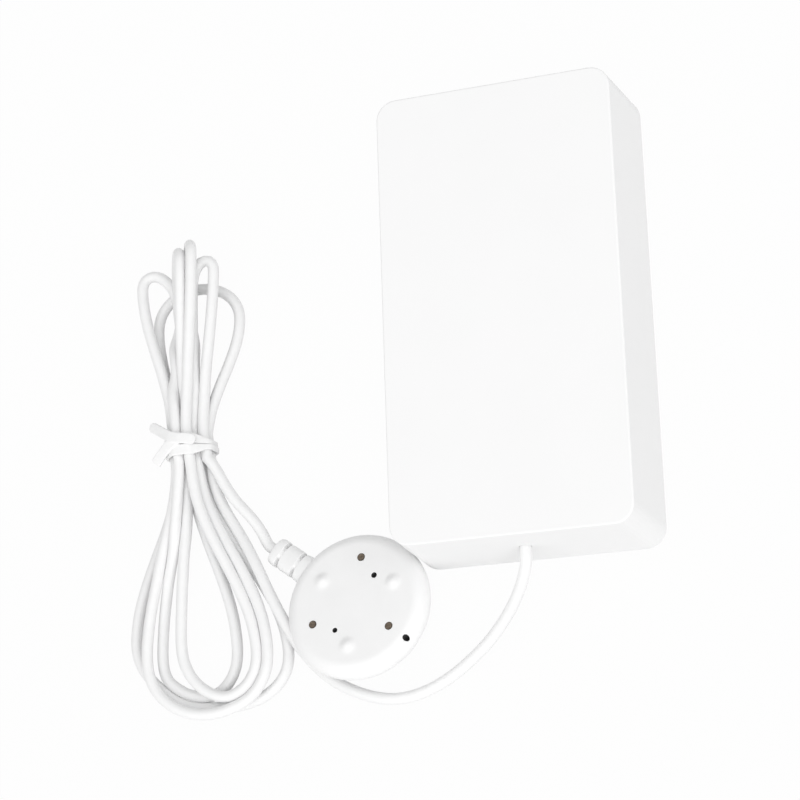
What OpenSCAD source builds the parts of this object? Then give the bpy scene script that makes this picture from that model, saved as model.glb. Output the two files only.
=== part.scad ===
// Water leak detector: a wall case with its cells, board and sounder, and a flat contact probe on a
// cable. The case lies on its back and the spare cable is tied in a hank. Everything is in millimetres.
// Origin: the middle of the case's back face. +X is the case's width, +Y its length, +Z its front.

/* [Case] */
// Width of the case at its back
case_w = 60; // [58:1:80]
// Length of the case at its back
case_l = 111; // [109:1:140]
// Depth of the case from back to front
case_h = 26; // [25:0.5:34]
// Distance that each side wall leans in from back to front
case_lean_w = 1.2; // [0:0.1:1.6]
// Distance that each end wall leans in from back to front
case_lean_l = 1; // [0:0.1:1.6]
// Radius of the upright corners
case_corner_r = 4.8; // [3.6:0.1:7]
// Rounding of the front edge
case_edge_r = 0.4; // [0.3:0.1:1.4]
// Thickness of the walls
wall_t = 2; // [1.6:0.1:2.4]
// Height of the cable's hole over the back
cord_z = 14; // [12:0.5:15]

/* [Rear cover] */
// Thickness of the rear cover
cover_t = 2.2; // [2:0.1:2.8]
// Gap around the rear cover
cover_gap = 0.25; // [0.15:0.05:0.4]
// Distance of the corner screws from the inside walls
screw_inset = 3.8; // [3.6:0.1:4.4]
// Radius of the corner screw's shank
screw_r = 1.25; // [1:0.05:1.5]
// Length of the corner screw
screw_l = 10; // [8:0.5:12]
// Distance between the two keyholes
keyhole_span = 32; // [30:1:36]
// Radius of the keyhole's round end, which the wall screw's head enters
keyhole_r = 4; // [3.5:0.1:4.4]
// Radius of the keyhole's slot, which the wall screw's neck fits
keyhole_slot_r = 2.1; // [1.5:0.1:2.4]
// Way that the wall screw slides along the keyhole
keyhole_slide = 7.5; // [6:0.5:8]
// Depth of the room behind the keyhole
keyhole_room = 4.6; // [3.5:0.1:6]

/* [Cells and door] */
// Number of cells
cell_count = 3; // [2:1:3]
// Diameter of a cell
cell_d = 14.5; // [14:0.1:14.5]
// Length of a cell with its tip
cell_l = 50.5; // [49:0.5:51]
// Length of a spring contact under load
spring_l = 4.5; // [4:0.1:5.5]
// Thickness of the contact plates
contact_t = 0.5; // [0.3:0.05:0.6]
// Thickness of the battery bay's walls
bay_t = 1.5; // [1.2:0.1:1.6]
// Thickness of the battery door
door_t = 1.6; // [1.4:0.1:1.8]
// Gap around the battery door
door_gap = 0.3; // [0.2:0.05:0.4]

/* [Board] */
// Width of the main board
board_w = 51; // [49:0.5:52]
// Length of the main board
board_l = 88; // [87:0.5:90]
// Thickness of the main board
board_t = 1.6; // [1:0.1:1.6]
// Distance of the board screws from the board's sides
post_inset = 3; // [2.8:0.1:4]
// Radius of the sounder
sounder_r = 7; // [6:0.5:7]
// Height of the sounder
sounder_h = 7; // [5:0.5:8]
// Radius of the test button
button_r = 3.5; // [3:0.1:3.6]
// Travel of the test button
button_travel = 0.4; // [0.2:0.1:0.5]

/* [Cable] */
// Diameter of the cable
cable_d = 2.8; // [2.2:0.1:2.9]
// Gap between neighbouring strands in the hank's waist
strand_gap = 0.35; // [0.3:0.05:0.7]
// Distance from the hank's waist to its upper end
upper_reach = 52.2; // [48:0.2:54]
// Distance from the hank's waist to its lower end
lower_reach = 66.8; // [62:0.2:68]
// Half the width of the hank's widest loop
hank_half_w = 20.5; // [18:0.5:22]
// Width of the tie's strip
tie_w = 2.7; // [2.4:0.1:2.9]
// Thickness of the tie's strip
tie_t = 0.8; // [0.5:0.1:1]

/* [Probe] */
// Diameter of the probe
probe_d = 36; // [34:0.5:36]
// Thickness of the probe's rounded rim
rim_t = 6.6; // [6:0.1:7]
// Depth of the dome under the rim
dome_h = 2.35; // [2:0.05:3]
// Diameter of a contact
contact_d = 1.7; // [1.4:0.1:2.4]
// Distance of the contacts from the probe's middle
contact_at = 11.34; // [10:0.1:12]
// Distance of the feet from the probe's middle
foot_at = 10.6; // [9.5:0.1:11.5]
// Width of a foot
foot_d = 3; // [2.4:0.1:3.4]
// Height of a foot
foot_h = 0.8; // [0.5:0.1:1]
// Length of the strain relief from the probe's middle
relief_l = 28.3; // [27:0.1:30]
// Width of the strain relief's barrel
relief_w = 7.1; // [6.4:0.1:7.4]
// Thickness of the strain relief
relief_t = 4.5; // [4:0.1:4.5]
// Depth that is left between the slots of the strain relief
relief_core_w = 2.3; // [1.8:0.1:3]

/* [Hidden] */
$fn = 48;
hull_fn = 32;
// Overrun of every cut past the face that it opens
over = 0.5;
// Small clearance between pieces that fit together
fit = 0.05;

// Inside of the case, the battery bay in it and the board over the bay
inside_w = case_w - 2 * wall_t;
inside_l = case_l - 2 * wall_t;
ceiling_z = case_h - wall_t;
bay_end_room = 12;
cell_gap = 0.4;
cell_lift = 0.3;
door_recess = 0.3;
roof_gap = 0.3;
roof_t = 0.8;
board_lift = 0.4;
cell_r = cell_d / 2;
cell_step = cell_d + cell_gap;
cell_z = door_recess + door_t + cell_lift + cell_r;
roof_z = cell_z + cell_r + roof_gap;
roof_top_z = roof_z + roof_t;
board_z = roof_top_z + board_lift;
board_top_z = board_z + board_t;
bay_w = cell_count * cell_d + (cell_count + 1) * cell_gap;
bay_l = cell_l + spring_l + 2 * contact_t;
bay_y0 = -board_l / 2 + bay_end_room;
bay_y1 = bay_y0 + bay_l;
screw_x = inside_w / 2 - screw_inset;
screw_y = inside_l / 2 - screw_inset;
exit_y = -(case_l / 2 - case_lean_l * cord_z / case_h);

// Case
sliver = 0.01;
inner_edge_r = 0.5;
window_t = 0.6;
window_r = 2.4;
window_rim_t = 1;
window_lift = 0.5;
boss_r = 4;
pilot_gap = 0.05;
pilot_spare = 1;
cord_gap = 0.1;

// Rear cover
screw_recess = 0.2;
screw_head_r = 2.6;
screw_head_h = 1.4;
screw_hole_gap = 0.2;
cross_w = 0.7;
cross_l = 3;
cross_depth = 0.9;
keyhole_wall = 1.2;
keyhole_head_gap = 0.6;
keyhole_end_room = 11.5;
keyhole_x = keyhole_span / 2;
keyhole_top_y = inside_l / 2 - keyhole_end_room;
keyhole_y = keyhole_top_y - keyhole_slide;
sound_hole_r = 0.8;
sound_ring_share = 0.45;
sound_hole_count = 6;
well_t = 0.9;
well_gap = 0.3;

// Cells and their contacts
cell_tip_r = 2.75;
cell_tip_l = 1.2;
cell_edge_r = 0.6;
cell_ring_w = 0.3;
cell_ring_at = 5;
cell_foot_r = 4.2;
cell_foot_l = 0.3;
spring_wire_r = 0.35;
spring_r = 3.3;
spring_top_r = 2.6;
spring_turns = 4;
contact_w = 9;
contact_h = 10;
contact_bridge_h = 3;

// Battery door
door_ledge = 0.9;
open_w = bay_w + 2 * door_ledge;
open_y0 = bay_y0 - door_ledge;
open_y1 = bay_y1 + door_ledge;
hinge_r = door_t / 2;
hinge_y = open_y1 - door_gap - hinge_r;
hinge_z = door_recess + hinge_r;
hinge_pin_r = 0.5;
hinge_pin_l = 1.6;
hinge_pin_gap = 0.05;
door_w = open_w - 2 * door_gap;
door_y0 = open_y0 + door_gap;
tongue_w = 12;
tongue_l = 9;
tongue_slot_w = 0.8;
nib_w = 8;
nib_out = 0.2;
nib_h = 0.8;
grip_count = 5;
grip_w = 0.7;
grip_step = 1.5;
grip_depth = 0.5;
grip_l = 10;
grip_at = 2;
notch_r = 6;
notch_depth = 1.2;

// Main board: it hangs on four posts of the housing, over the bay's roof
board_corner_r = 1.5;
post_r = 2.8;
post_x = board_w / 2 - post_inset;
post_y = board_l / 2 - post_inset;
board_screw_r = 1;
board_screw_head_r = 1.9;
board_screw_head_h = 1.2;
board_screw_l = 4.2;
led_w = 3;
led_l = 1.8;
led_h = 1;
led_lens_r = 0.7;
led_end_room = 12.3;
led_y = board_l / 2 - led_end_room;
sounder_end_room = 6.2;
sounder_y = board_l / 2 - sounder_end_room;
sounder_hole_r = 1.25;
sounder_hole_l = 1;
sounder_rim = 0.4;
cap_r = 3.15;
cap_h = 7.2;
cap_x = 13;
cap_bead_r = 0.35;
cap_foot = 1;
chip_h = 0.9;
chip_at_shares = [[-0.22, -0.06], [-0.27, 0.24], [0.2, -0.2], [-0.12, 0.12]];
chip_sizes_shares = [[1, 1], [0.72, 0.9], [0.56, 0.7], [0.45, 0.45]];
chip_w = 7;
crystal_l = 10;
crystal_w = 4;
crystal_h = 3;
crystal_x_share = -0.24;
crystal_y_share = -0.2;
passive_w = 0.9;
passive_l = 1.7;
passive_h = 0.7;
passive_count = 7;
passive_rows = 2;
passive_step = 3;
passive_row_step = 3.4;
passive_x_share = -0.12;
passive_y_share = -0.35;
radio_w = 16;
radio_l = 22;
radio_t = 0.8;
radio_x_share = 0.1;
radio_y_share = 0.08;
shield_inset = 1.5;
shield_l = 14;
shield_h = 2;
shield_edge_r = 0.6;
antenna_r = 0.4;
antenna_lift = 1.8;
antenna_inset = 8;
antenna_w_share = 0.56;
antenna_l = 26;

// Test button, in the cover under the board
button_x = 14;
button_end_room = 4;
button_y = -board_l / 2 + button_end_room;
button_recess = 0.5;
button_gap = 0.3;
button_flange_w = 0.8;
button_flange_t = 0.8;
button_seat = 0.2;
button_guide_t = 0.9;
button_guide_h = 5;
button_stem_r = 1.4;
button_edge_r = 0.4;
switch_w = 6;
switch_h = 3.5;
switch_stem_r = 1.7;
switch_stem_out = 1;
switch_stem_in = 0.6;
switch_stem_gap = 0.1;
switch_bottom_z = board_z - switch_h;

// Cable inside the case
cable_r = cable_d / 2;
saddle_w = 17;
saddle_l = 5;
saddle_wall_gap = 2.2;
saddle_y = -inside_l / 2 + saddle_wall_gap + saddle_l / 2;
saddle_gap = 0.1;
clamp_h = 2.4;
clamp_inset = 0.4;
clamp_screw_x = 6;
clamp_screw_l = 5.5;
tail_past = 0.9;
tail_end_y = saddle_y + saddle_l / 2 + tail_past;
core_r = 0.45;
core_step = 0.55;
plug_w = 6;
plug_l = 5;
plug_h = 3.2;
plug_room = 2.6;
plug_y0 = tail_end_y + plug_room;
plug_drop = 0.8;
plug_z = board_z - plug_drop - plug_h / 2;
plug_fit = 0.1;
header_wall = 1;
header_grip = 1.4;
header_back = 1.6;
plug_core_step = 1;
core_over = [0, over, over];

// Hank: half loops that go up and down from the waist. Strands cross the waist side by side in layers.
corner = [-case_w / 2, -case_l / 2, 0];
hank_way = [-58.2, 36];
hank_at = [corner.x + hank_way.x, corner.y + hank_way.y];
waist_half = 3;
tie_gap = 0.3;
strand_pitch = cable_d + strand_gap;
waist_z = tie_t + tie_gap + cable_r;
lead_share = 2.2;
// Places in the waist: strands across from the middle, and layer
places = [[-2, 0], [-1, 0], [0, 0], [1, 0], [lead_share, 0],
    [-2, 1], [-1, 1], [0, 1], [1, 1], [lead_share, 1]];
// Each half loop: place it comes from, place it goes to, up or down, side of its first leg,
// its reach, its tip's half width, its tip's lean to the side and its tip's length, as shares
// of the hank, the tip's slant as a share of the hank, its turn in degrees and its height in layers
lobe_shares = [
    [4, 0, 1, 1, 0.814, 0.561, 0.063, 0.43, 0, 0, 0],
    [0, 3, -1, -1, 0.967, 1, 0.195, 0.663, 0.146, 0, 0],
    [3, 7, 1, -1, 1, 0.176, 0.078, 0.176, 0, 65, 2.5],
    [7, 6, -1, 1, 0.916, 0.488, 0.224, 0.493, 0, 0, 1.05],
    [6, 2, 1, 1, 0.969, 0.176, -0.093, 0.176, 0, 65, 2.4],
    [2, 1, -1, 1, 0.889, 0.488, 0.015, 0.493, 0, 0, 0],
    [1, 5, 1, 1, 0.893, 0.205, -0.498, 0.293, 0, 0, 1.4],
    [5, 8, -1, -1, 1, 0.78, 0.205, 0.683, 0, 0, 1.05],
    [8, 9, 1, -1, 0.927, 0.171, 0.38, 0.171, 0, 40, 2.7]];
leg_shares = [0, 0.2, 0.56];
tip_steps = 5;
tube_sides = 6;
lead_sides = 8;
gap_steps = 4;
turn_room = 8;
tie_knot_l = 3;
tie_side_gap = 0.1;
// Each tail: its start along the waist and across the strip, its way in degrees, its length in widths
// and whether its end is round
tie_tails_shares = [[0.55, 0.25, 137, 2.25, 1], [0.57, -0.45, 212, 1.6, 0]];

// Probe: a tilted disc that rests on its dome, with its contacts up
probe_way = [-13.8, -8.3];
probe_at = [corner.x + probe_way.x, corner.y + probe_way.y];
probe_tilt = 10.8;
probe_lean_dir = 102.2;
relief_dir = 143.3;
probe_r = probe_d / 2;
edge_r = rim_t / 2;
face_r = probe_r - edge_r;
dome_r = (face_r * face_r + dome_h * dome_h) / (2 * dome_h);
dome_centre_z = dome_r - edge_r - dome_h;
probe_z = dome_r - dome_centre_z * cos(probe_tilt);
contact_dirs = [for (i = [0:2]) 83.3 + i * 120];
foot_dirs = [for (i = [0:2]) 23.3 + i * 120];
foot_sphere_r = (foot_d * foot_d / 4 + foot_h * foot_h) / (2 * foot_h);
hole_r = 0.7;
hole_depth = 2.2;
hole_at = 7.96;
hole_dirs = [52.4, 234.8];
side_hole_r = 0.6;
side_hole_at = 16.6;
side_hole_dir = 323.3;
contact_dome = 0.1;
probe_board_r = 13.5;
probe_board_t = 1.2;
probe_board_z = -1;
neck_l = 5.2;
neck_flare = 4.2;
neck_w = 7.6;
slot_w = 1;
slot_places = [20.1, 25.3];
collar_w = 6.8;
probe_tail_in = 12.5;
probe_core_r = 0.45;
probe_core_step = 0.6;
probe_core_in = 2;

// Cable routes over the table, by hand, from the case's corner beside the probe. Their straight ends
// follow the wall, the hank and the strain relief.
box_lead_points = [[29.4, -4.5, 12.8], [28.1, -6.9, 11.1], [26.4, -9.3, 9.3], [24.2, -11.9, 7.3],
    [21.2, -14.9, 5.1], [17, -18.7, 3], [12, -22.5, 1.8], [6, -26.5, 1.4], [-0.5, -29.3, 1.4],
    [-6.6, -30.3, 1.4], [-11.1, -29.7, 1.4], [-16.1, -28.1, 1.4], [-21.2, -25.6, 1.4],
    [-25.3, -22.6, 1.5], [-28.2, -19.4, 2.1], [-30.7, -15.8, 3.5], [-33.8, -9.8, 4.7],
    [-37, -3.7, 4.75], [-40.8, 4.6, 4.75], [-43.6, 11.7, 4.3], [-46.2, 18.3, 2.9], [-48.9, 24.7, 2]];
probe_lead_points = [[-49.8, 27.3, 5.6], [-47, 23.9, 5.7], [-44.2, 20.3, 5.5], [-41.9, 16.7, 4.6],
    [-40, 13.3, 3.2]];
box_lead_route = concat([[0, exit_y, cord_z], [0, exit_y - cable_d, cord_z]],
    [for (p = box_lead_points) corner + p], [waist_end(4) - [0, cable_d, 0], waist_end(4)]);
probe_lead_route = concat([waist_end(9), waist_end(9) - [0, cable_d, 0]],
    [for (p = probe_lead_points) corner + p],
    [probe_point([relief_l + cable_d, 0, 0]), probe_point([relief_l, 0, 0])]);

// Geometry helpers
function turn_z(p, a) = [p.x * cos(a) - p.y * sin(a), p.x * sin(a) + p.y * cos(a), p.z];
function turn_y(p, a) = [p.x * cos(a) + p.z * sin(a), p.y, -p.x * sin(a) + p.z * cos(a)];
function probe_point(p) = [probe_at.x, probe_at.y, probe_z]
    + turn_z(turn_y(turn_z(p, relief_dir - probe_lean_dir), probe_tilt), probe_lean_dir);
function unit(v) = v / norm(v);
function across(v, t) = unit(v - t * (v * t));
function waist_place(i) = [places[i].x * strand_pitch, waist_z + places[i].y * strand_pitch];
function waist_end(i) = [hank_at.x + waist_place(i).x, hank_at.y - waist_half, waist_place(i).y];
function ease(t) = (1 - cos(180 * t)) / 2;

// One half loop: a leg that leaves the waist, a rounded tip and a leg that comes back
function lobe(s) = let(
    a = waist_place(s[0]),
    b = waist_place(s[1]),
    up = s[2],
    reach = s[4] * (up > 0 ? upper_reach : lower_reach),
    tip = s[3] * s[5] * hank_half_w * [cos(s[9]), sin(s[9])],
    mid = [s[6] * hank_half_w, cable_r + s[10] * strand_pitch],
    tip_l = s[7] * hank_half_w,
    slant = s[3] * s[8] * hank_half_w,
    leg_l = reach - tip_l)
    concat(
        [for (t = leg_shares) let(p = a + (mid + tip - a) * ease(t))
            [p.x, up * (waist_half + (leg_l + slant - waist_half) * t), p.y]],
        [for (i = [0:tip_steps]) let(w = 180 * i / tip_steps, p = mid + tip * cos(w))
            [p.x, up * (leg_l + tip_l * sin(w) + slant * cos(w)), p.y]],
        [for (i = [len(leg_shares) - 1:-1:0]) let(t = leg_shares[i], p = b + (mid - tip - b) * ease(t))
            [p.x, up * (waist_half + (leg_l - slant - waist_half) * t), p.y]]);
hank_path = [for (s = lobe_shares, p = lobe(s)) [p.x + hank_at.x, p.y + hank_at.y, p.z]];

// Least gap of the hank to itself, between points that lie more than a turn apart along the cable
hank_fine = [for (i = [0:len(hank_path) - 2], k = [0:gap_steps - 1])
    hank_path[i] + (hank_path[i + 1] - hank_path[i]) * k / gap_steps];
hank_run = [for (i = 0, run = 0; i < len(hank_fine); i = i + 1,
    run = run + (i < len(hank_fine) ? norm(hank_fine[i] - hank_fine[i - 1]) : 0)) run];
hank_least_gap = min([for (i = [0:len(hank_fine) - 1], j = [i + 1:1:len(hank_fine) - 1])
    if (hank_run[j] - hank_run[i] > turn_room) norm(hank_fine[i] - hank_fine[j])]) - cable_d;
function path_length(p) = len(p) < 2 ? 0 : [for (i = 1, s = norm(p[1] - p[0]); i < len(p); i = i + 1,
    s = s + (i < len(p) ? norm(p[i] - p[i - 1]) : 0)) s][len(p) - 2];
echo(hank_least_gap = hank_least_gap, hank_length = path_length(hank_path));
echo(box_lead_length = path_length(box_lead_route), probe_lead_length = path_length(probe_lead_route));

// A tube swept along points, with flat ends square to its first and last run
function tube_way(p, i) = unit(
    i == 0 ? p[1] - p[0] : i == len(p) - 1 ? p[i] - p[i - 1] : unit(p[i + 1] - p[i]) + unit(p[i] - p[i - 1]));
function tube_rings(p, r, sides) = [for (i = 0, t = tube_way(p, 0), u = across([0.1, 0.2, 1], t);
    i < len(p); i = i + 1, t = tube_way(p, min(i, len(p) - 1)), u = across(u, t))
    [for (k = [0:sides - 1]) p[i] + r * (u * cos(360 * k / sides) + cross(t, u) * sin(360 * k / sides))]];
module tube(p, r, sides) {
    n = len(p);
    walls = [for (i = [0:n - 2], k = [0:sides - 1]) let(a = i * sides + k, b = i * sides + (k + 1) % sides)
        each [[a, a + sides, b], [b, a + sides, b + sides]]];
    start = [for (k = [1:sides - 2]) [0, k, k + 1]];
    finish = [for (k = [1:sides - 2]) [(n - 1) * sides, (n - 1) * sides + k + 1, (n - 1) * sides + k]];
    points = [for (ring = tube_rings(p, r, sides)) each ring];
    polyhedron(points = points, faces = concat(walls, start, finish));
}

module round_plate(w, l, r, h)
    linear_extrude(h) {
        square([w - 2 * r, l], center = true);
        square([w, l - 2 * r], center = true);
        for (x = [-1, 1], y = [-1, 1])
            translate([x * (w / 2 - r), y * (l / 2 - r)]) circle(r);
    }

module four(x, y)
    for (i = [-1, 1], j = [-1, 1])
        translate([i * x, j * y, 0]) children();

module slab(w, l, z0, z1)
    translate([-w / 2, -l / 2, z0]) cube([w, l, z1 - z0]);

// The case's leaning block between two heights, set in from the outside by a wall
module case_block(z0, z1, inset, edge) {
    r = case_corner_r - inset;
    hull()
        for (i = [-1, 1], j = [-1, 1]) {
            translate([i * (case_w / 2 - inset - r - case_lean_w * z0 / case_h),
                j * (case_l / 2 - inset - r - case_lean_l * z0 / case_h), z0])
                cylinder(r = r, h = sliver, $fn = hull_fn);
            translate([i * (case_w / 2 - inset - r - case_lean_w * z1 / case_h),
                j * (case_l / 2 - inset - r - case_lean_l * z1 / case_h), z1 - edge])
                rotate_extrude($fn = hull_fn)
                    intersection() {
                        translate([r - edge, 0]) circle(edge, $fn = hull_fn / 2);
                        square([r + over, edge]);
                    }
        }
}

module front_housing() color("#f4f5f6") difference() {
    union() {
        difference() {
            case_block(0, case_h, 0, case_edge_r);
            case_block(-over, ceiling_z, wall_t, inner_edge_r);
        }
        four(screw_x, screw_y) translate([0, 0, cover_t])
            cylinder(r = boss_r, h = case_h - wall_t / 2 - cover_t);
        four(post_x, post_y) translate([0, 0, board_top_z])
            cylinder(r = post_r, h = case_h - wall_t / 2 - board_top_z);
        translate([0, led_y, board_top_z + led_h + window_lift])
            cylinder(r = window_r + window_rim_t, h = ceiling_z + over - board_top_z - led_h - window_lift);
        translate([0, saddle_y, 0]) slab(saddle_w, saddle_l, cord_z + saddle_gap, ceiling_z + over);
    }
    four(screw_x, screw_y) translate([0, 0, cover_t - over])
        cylinder(r = screw_r + pilot_gap, h = over + screw_recess + screw_l + pilot_spare - cover_t);
    four(post_x, post_y) translate([0, 0, board_top_z - over])
        cylinder(r = board_screw_r + pilot_gap, h = over + board_screw_l - board_t + pilot_spare / 2);
    translate([0, led_y, board_top_z + led_h])
        cylinder(r = window_r, h = case_h - window_t - board_top_z - led_h);
    translate([0, -case_l / 2 - over, cord_z]) rotate([-90, 0, 0])
        cylinder(r = cable_r + cord_gap, h = wall_t + case_lean_l + 2 * over);
    translate([0, saddle_y - saddle_l / 2 - over, cord_z]) rotate([-90, 0, 0])
        cylinder(r = cable_r + fit, h = saddle_l + 2 * over);
    for (i = [-1, 1]) translate([i * clamp_screw_x, saddle_y, cord_z])
        cylinder(r = board_screw_r + pilot_gap, h = clamp_screw_l + pilot_spare - clamp_h);
}

// A keyhole's outline: a round end and a slot, each with its own radius
module keyhole(round_r, slot_r, h)
    linear_extrude(h) {
        circle(round_r);
        translate([0, keyhole_slide]) circle(slot_r);
        translate([-slot_r, 0]) square([2 * slot_r, keyhole_slide]);
    }

module rear_cover() color("#eceded") difference() {
    union() {
        round_plate(inside_w - 2 * cover_gap, inside_l - 2 * cover_gap,
            case_corner_r - wall_t - cover_gap, cover_t);
        translate([0, (bay_y0 + bay_y1) / 2, 0])
            slab(bay_w + 2 * bay_t, bay_l + 2 * bay_t, sliver, roof_top_z);
        for (i = [-1, 1]) translate([i * keyhole_x, keyhole_y, sliver]) {
            r = keyhole_r + keyhole_head_gap + keyhole_wall;
            keyhole(r, r, cover_t + keyhole_room + keyhole_wall);
        }
        translate([0, sounder_y, sliver])
            cylinder(r = sounder_r + well_t, h = board_z - sounder_h - well_gap - sliver);
        translate([button_x, button_y, sliver])
            cylinder(r = button_r + button_flange_w + button_gap + button_guide_t,
                h = cover_t + button_guide_h);
    }
    // Battery bay and the opening of its door
    translate([0, (bay_y0 + bay_y1) / 2, 0]) slab(bay_w, bay_l, cover_t, roof_z);
    translate([0, (open_y0 + open_y1) / 2, 0]) slab(open_w, open_y1 - open_y0, -over, cover_t);
    for (i = [-1, 1]) translate([i * (open_w / 2 + hinge_pin_l / 2), hinge_y, hinge_z]) rotate([0, 90, 0])
        cylinder(r = hinge_pin_r + hinge_pin_gap, h = hinge_pin_l + over, center = true);
    translate([0, open_y0, -notch_r + notch_depth]) sphere(r = notch_r);
    // Keyholes and the rooms behind them
    for (i = [-1, 1]) translate([i * keyhole_x, keyhole_y, 0]) {
        r = keyhole_r + keyhole_head_gap;
        translate([0, 0, -over]) keyhole(keyhole_r, keyhole_slot_r, cover_t + 2 * over);
        translate([0, 0, cover_t]) keyhole(r, r, keyhole_room);
    }
    // Sound holes under the sounder's well
    translate([0, sounder_y, cover_t]) cylinder(r = sounder_r, h = board_z);
    translate([0, sounder_y, -over]) cylinder(r = sound_hole_r, h = cover_t + 2 * over);
    for (i = [0:sound_hole_count - 1]) translate([0, sounder_y, -over])
        rotate([0, 0, 360 * i / sound_hole_count]) translate([sounder_r * sound_ring_share, 0, 0])
            cylinder(r = sound_hole_r, h = cover_t + 2 * over);
    // Test button's way
    translate([button_x, button_y, -over]) cylinder(r = button_r + button_gap, h = cover_t + 2 * over);
    translate([button_x, button_y, cover_t])
        cylinder(r = button_r + button_flange_w + button_gap, h = button_guide_h + over);
    // Corner screws
    four(screw_x, screw_y) {
        translate([0, 0, -over]) cylinder(r = screw_r + screw_hole_gap, h = cover_t + 2 * over);
        translate([0, 0, -over]) cylinder(r = screw_head_r + screw_hole_gap, h = over + screw_recess);
        translate([0, 0, screw_recess])
            cylinder(r1 = screw_head_r + screw_hole_gap, r2 = screw_r + screw_hole_gap, h = screw_head_h);
    }
}

module battery_door() color("#e6e8e9") difference() {
    union() {
        translate([0, (door_y0 + hinge_y) / 2, 0])
            slab(door_w, hinge_y - door_y0, door_recess, door_recess + door_t);
        translate([0, hinge_y, hinge_z]) rotate([0, 90, 0]) {
            cylinder(r = hinge_r, h = door_w, center = true);
            cylinder(r = hinge_pin_r, h = open_w + 2 * (hinge_pin_l - door_gap), center = true);
        }
        translate([0, door_y0, 0])
            slab(nib_w, 2 * nib_out, door_recess + door_t - nib_h, door_recess + door_t);
    }
    for (i = [-1, 1]) translate([i * tongue_w / 2, door_y0 + tongue_l / 2, 0])
        slab(tongue_slot_w, tongue_l + over, -over, cover_t);
    for (i = [0:grip_count - 1]) translate([0, door_y0 + grip_at + i * grip_step, 0])
        slab(grip_l, grip_w, -over, door_recess + grip_depth);
}

module cross_head_cut(depth)
    for (a = [0, 90]) rotate([0, 0, a]) slab(cross_l, cross_w, -over, depth);

module cover_screws() color("#b9bcc0") four(screw_x, screw_y) translate([0, 0, screw_recess]) difference() {
    union() {
        cylinder(r1 = screw_head_r, r2 = screw_r, h = screw_head_h);
        cylinder(r = screw_r, h = screw_l);
    }
    cross_head_cut(cross_depth);
}

// One cell with its tip toward +Y, between its two contacts
module cell() rotate([-90, 0, 0]) difference() {
    union() {
        translate([0, 0, cell_foot_l])
            cylinder(r = cell_r - cell_edge_r, h = cell_l - cell_tip_l - cell_foot_l);
        translate([0, 0, cell_foot_l + cell_edge_r])
            cylinder(r = cell_r, h = cell_l - cell_tip_l - cell_foot_l - 2 * cell_edge_r);
        cylinder(r = cell_foot_r, h = cell_l - cell_tip_l);
        cylinder(r = cell_tip_r, h = cell_l);
    }
    translate([0, 0, cell_l - cell_tip_l - cell_ring_at]) difference() {
        cylinder(r = cell_r + over, h = cell_ring_w);
        translate([0, 0, -over]) cylinder(r = cell_r - cell_ring_w / 2, h = cell_ring_w + 2 * over);
    }
}
// Cells lie side by side, turned end for end in turn
function cell_x(i) = (i - (cell_count - 1) / 2) * cell_step;
function cell_up(i) = i % 2 == 0;
module cell_at(i)
    if (i < cell_count)
        translate([cell_x(i), cell_up(i) ? bay_y1 - contact_t - cell_l : bay_y0 + contact_t + cell_l, cell_z])
            rotate([0, 0, cell_up(i) ? 0 : 180]) cell();
module battery_cell_1() color("#3d6fa5") cell_at(0);
module battery_cell_2() color("#3d6fa5") cell_at(1);
module battery_cell_3() color("#3d6fa5") cell_at(2);

// One spring contact, from its plate up to the cell, with flat ends
spring_steps = 8;
spring_path = [for (i = [0:spring_turns * spring_steps])
    let(t = i / (spring_turns * spring_steps), r = spring_r + (spring_top_r - spring_r) * t)
    [r * cos(360 * i / spring_steps), spring_wire_r + (spring_l - 2 * spring_wire_r) * t,
        r * sin(360 * i / spring_steps)]];
module battery_springs() color("#c8cbd0") for (i = [0:cell_count - 1])
    translate([cell_x(i), cell_up(i) ? bay_y0 + contact_t : bay_y1 - contact_t, cell_z])
        rotate([0, 0, cell_up(i) ? 0 : 180]) tube(spring_path, spring_wire_r, tube_sides);

// Contact plates on the bay's end walls: single ones, and one at each end that bridges two cells
module contact_plate(i, y)
    translate([cell_x(i) - contact_w / 2, y, cell_z - contact_h / 2]) cube([contact_w, contact_t, contact_h]);
module contact_plates() color("#c8cbd0") for (end = [0, 1]) {
    y = end == 0 ? bay_y0 : bay_y1 - contact_t;
    for (i = [0:cell_count - 1]) contact_plate(i, y);
    for (i = [1 - end:2:cell_count - 2])
        translate([cell_x(i), y, cell_z - contact_bridge_h / 2])
            cube([cell_step, contact_t, contact_bridge_h]);
}

module main_board() color("#2f6b46") difference() {
    translate([0, 0, board_z]) round_plate(board_w, board_l, board_corner_r, board_t);
    four(post_x, post_y) translate([0, 0, board_z - over])
        cylinder(r = board_screw_r + screw_hole_gap, h = board_t + 2 * over);
}

module pan_screw(l) difference() {
    union() {
        translate([0, 0, -board_screw_head_h]) cylinder(r = board_screw_head_r, h = board_screw_head_h);
        cylinder(r = board_screw_r, h = l);
    }
    translate([0, 0, -board_screw_head_h]) cross_head_cut(board_screw_head_h / 2);
}
module board_screws() color("#b9bcc0") four(post_x, post_y)
    translate([0, 0, board_z]) pan_screw(board_screw_l);

module board_chips() color("#2b2d31") for (i = [0:len(chip_at_shares) - 1])
    translate([chip_at_shares[i].x * board_w, chip_at_shares[i].y * board_l, 0])
        slab(chip_w * chip_sizes_shares[i].x, chip_w * chip_sizes_shares[i].y,
            board_top_z, board_top_z + chip_h);

module board_passives() color("#8f7a62") for (i = [0:passive_count - 1], j = [0:passive_rows - 1])
    translate([passive_x_share * board_w + i * passive_step,
        passive_y_share * board_l + j * passive_row_step, 0])
        slab(passive_w, passive_l, board_top_z, board_top_z + passive_h);

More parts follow.
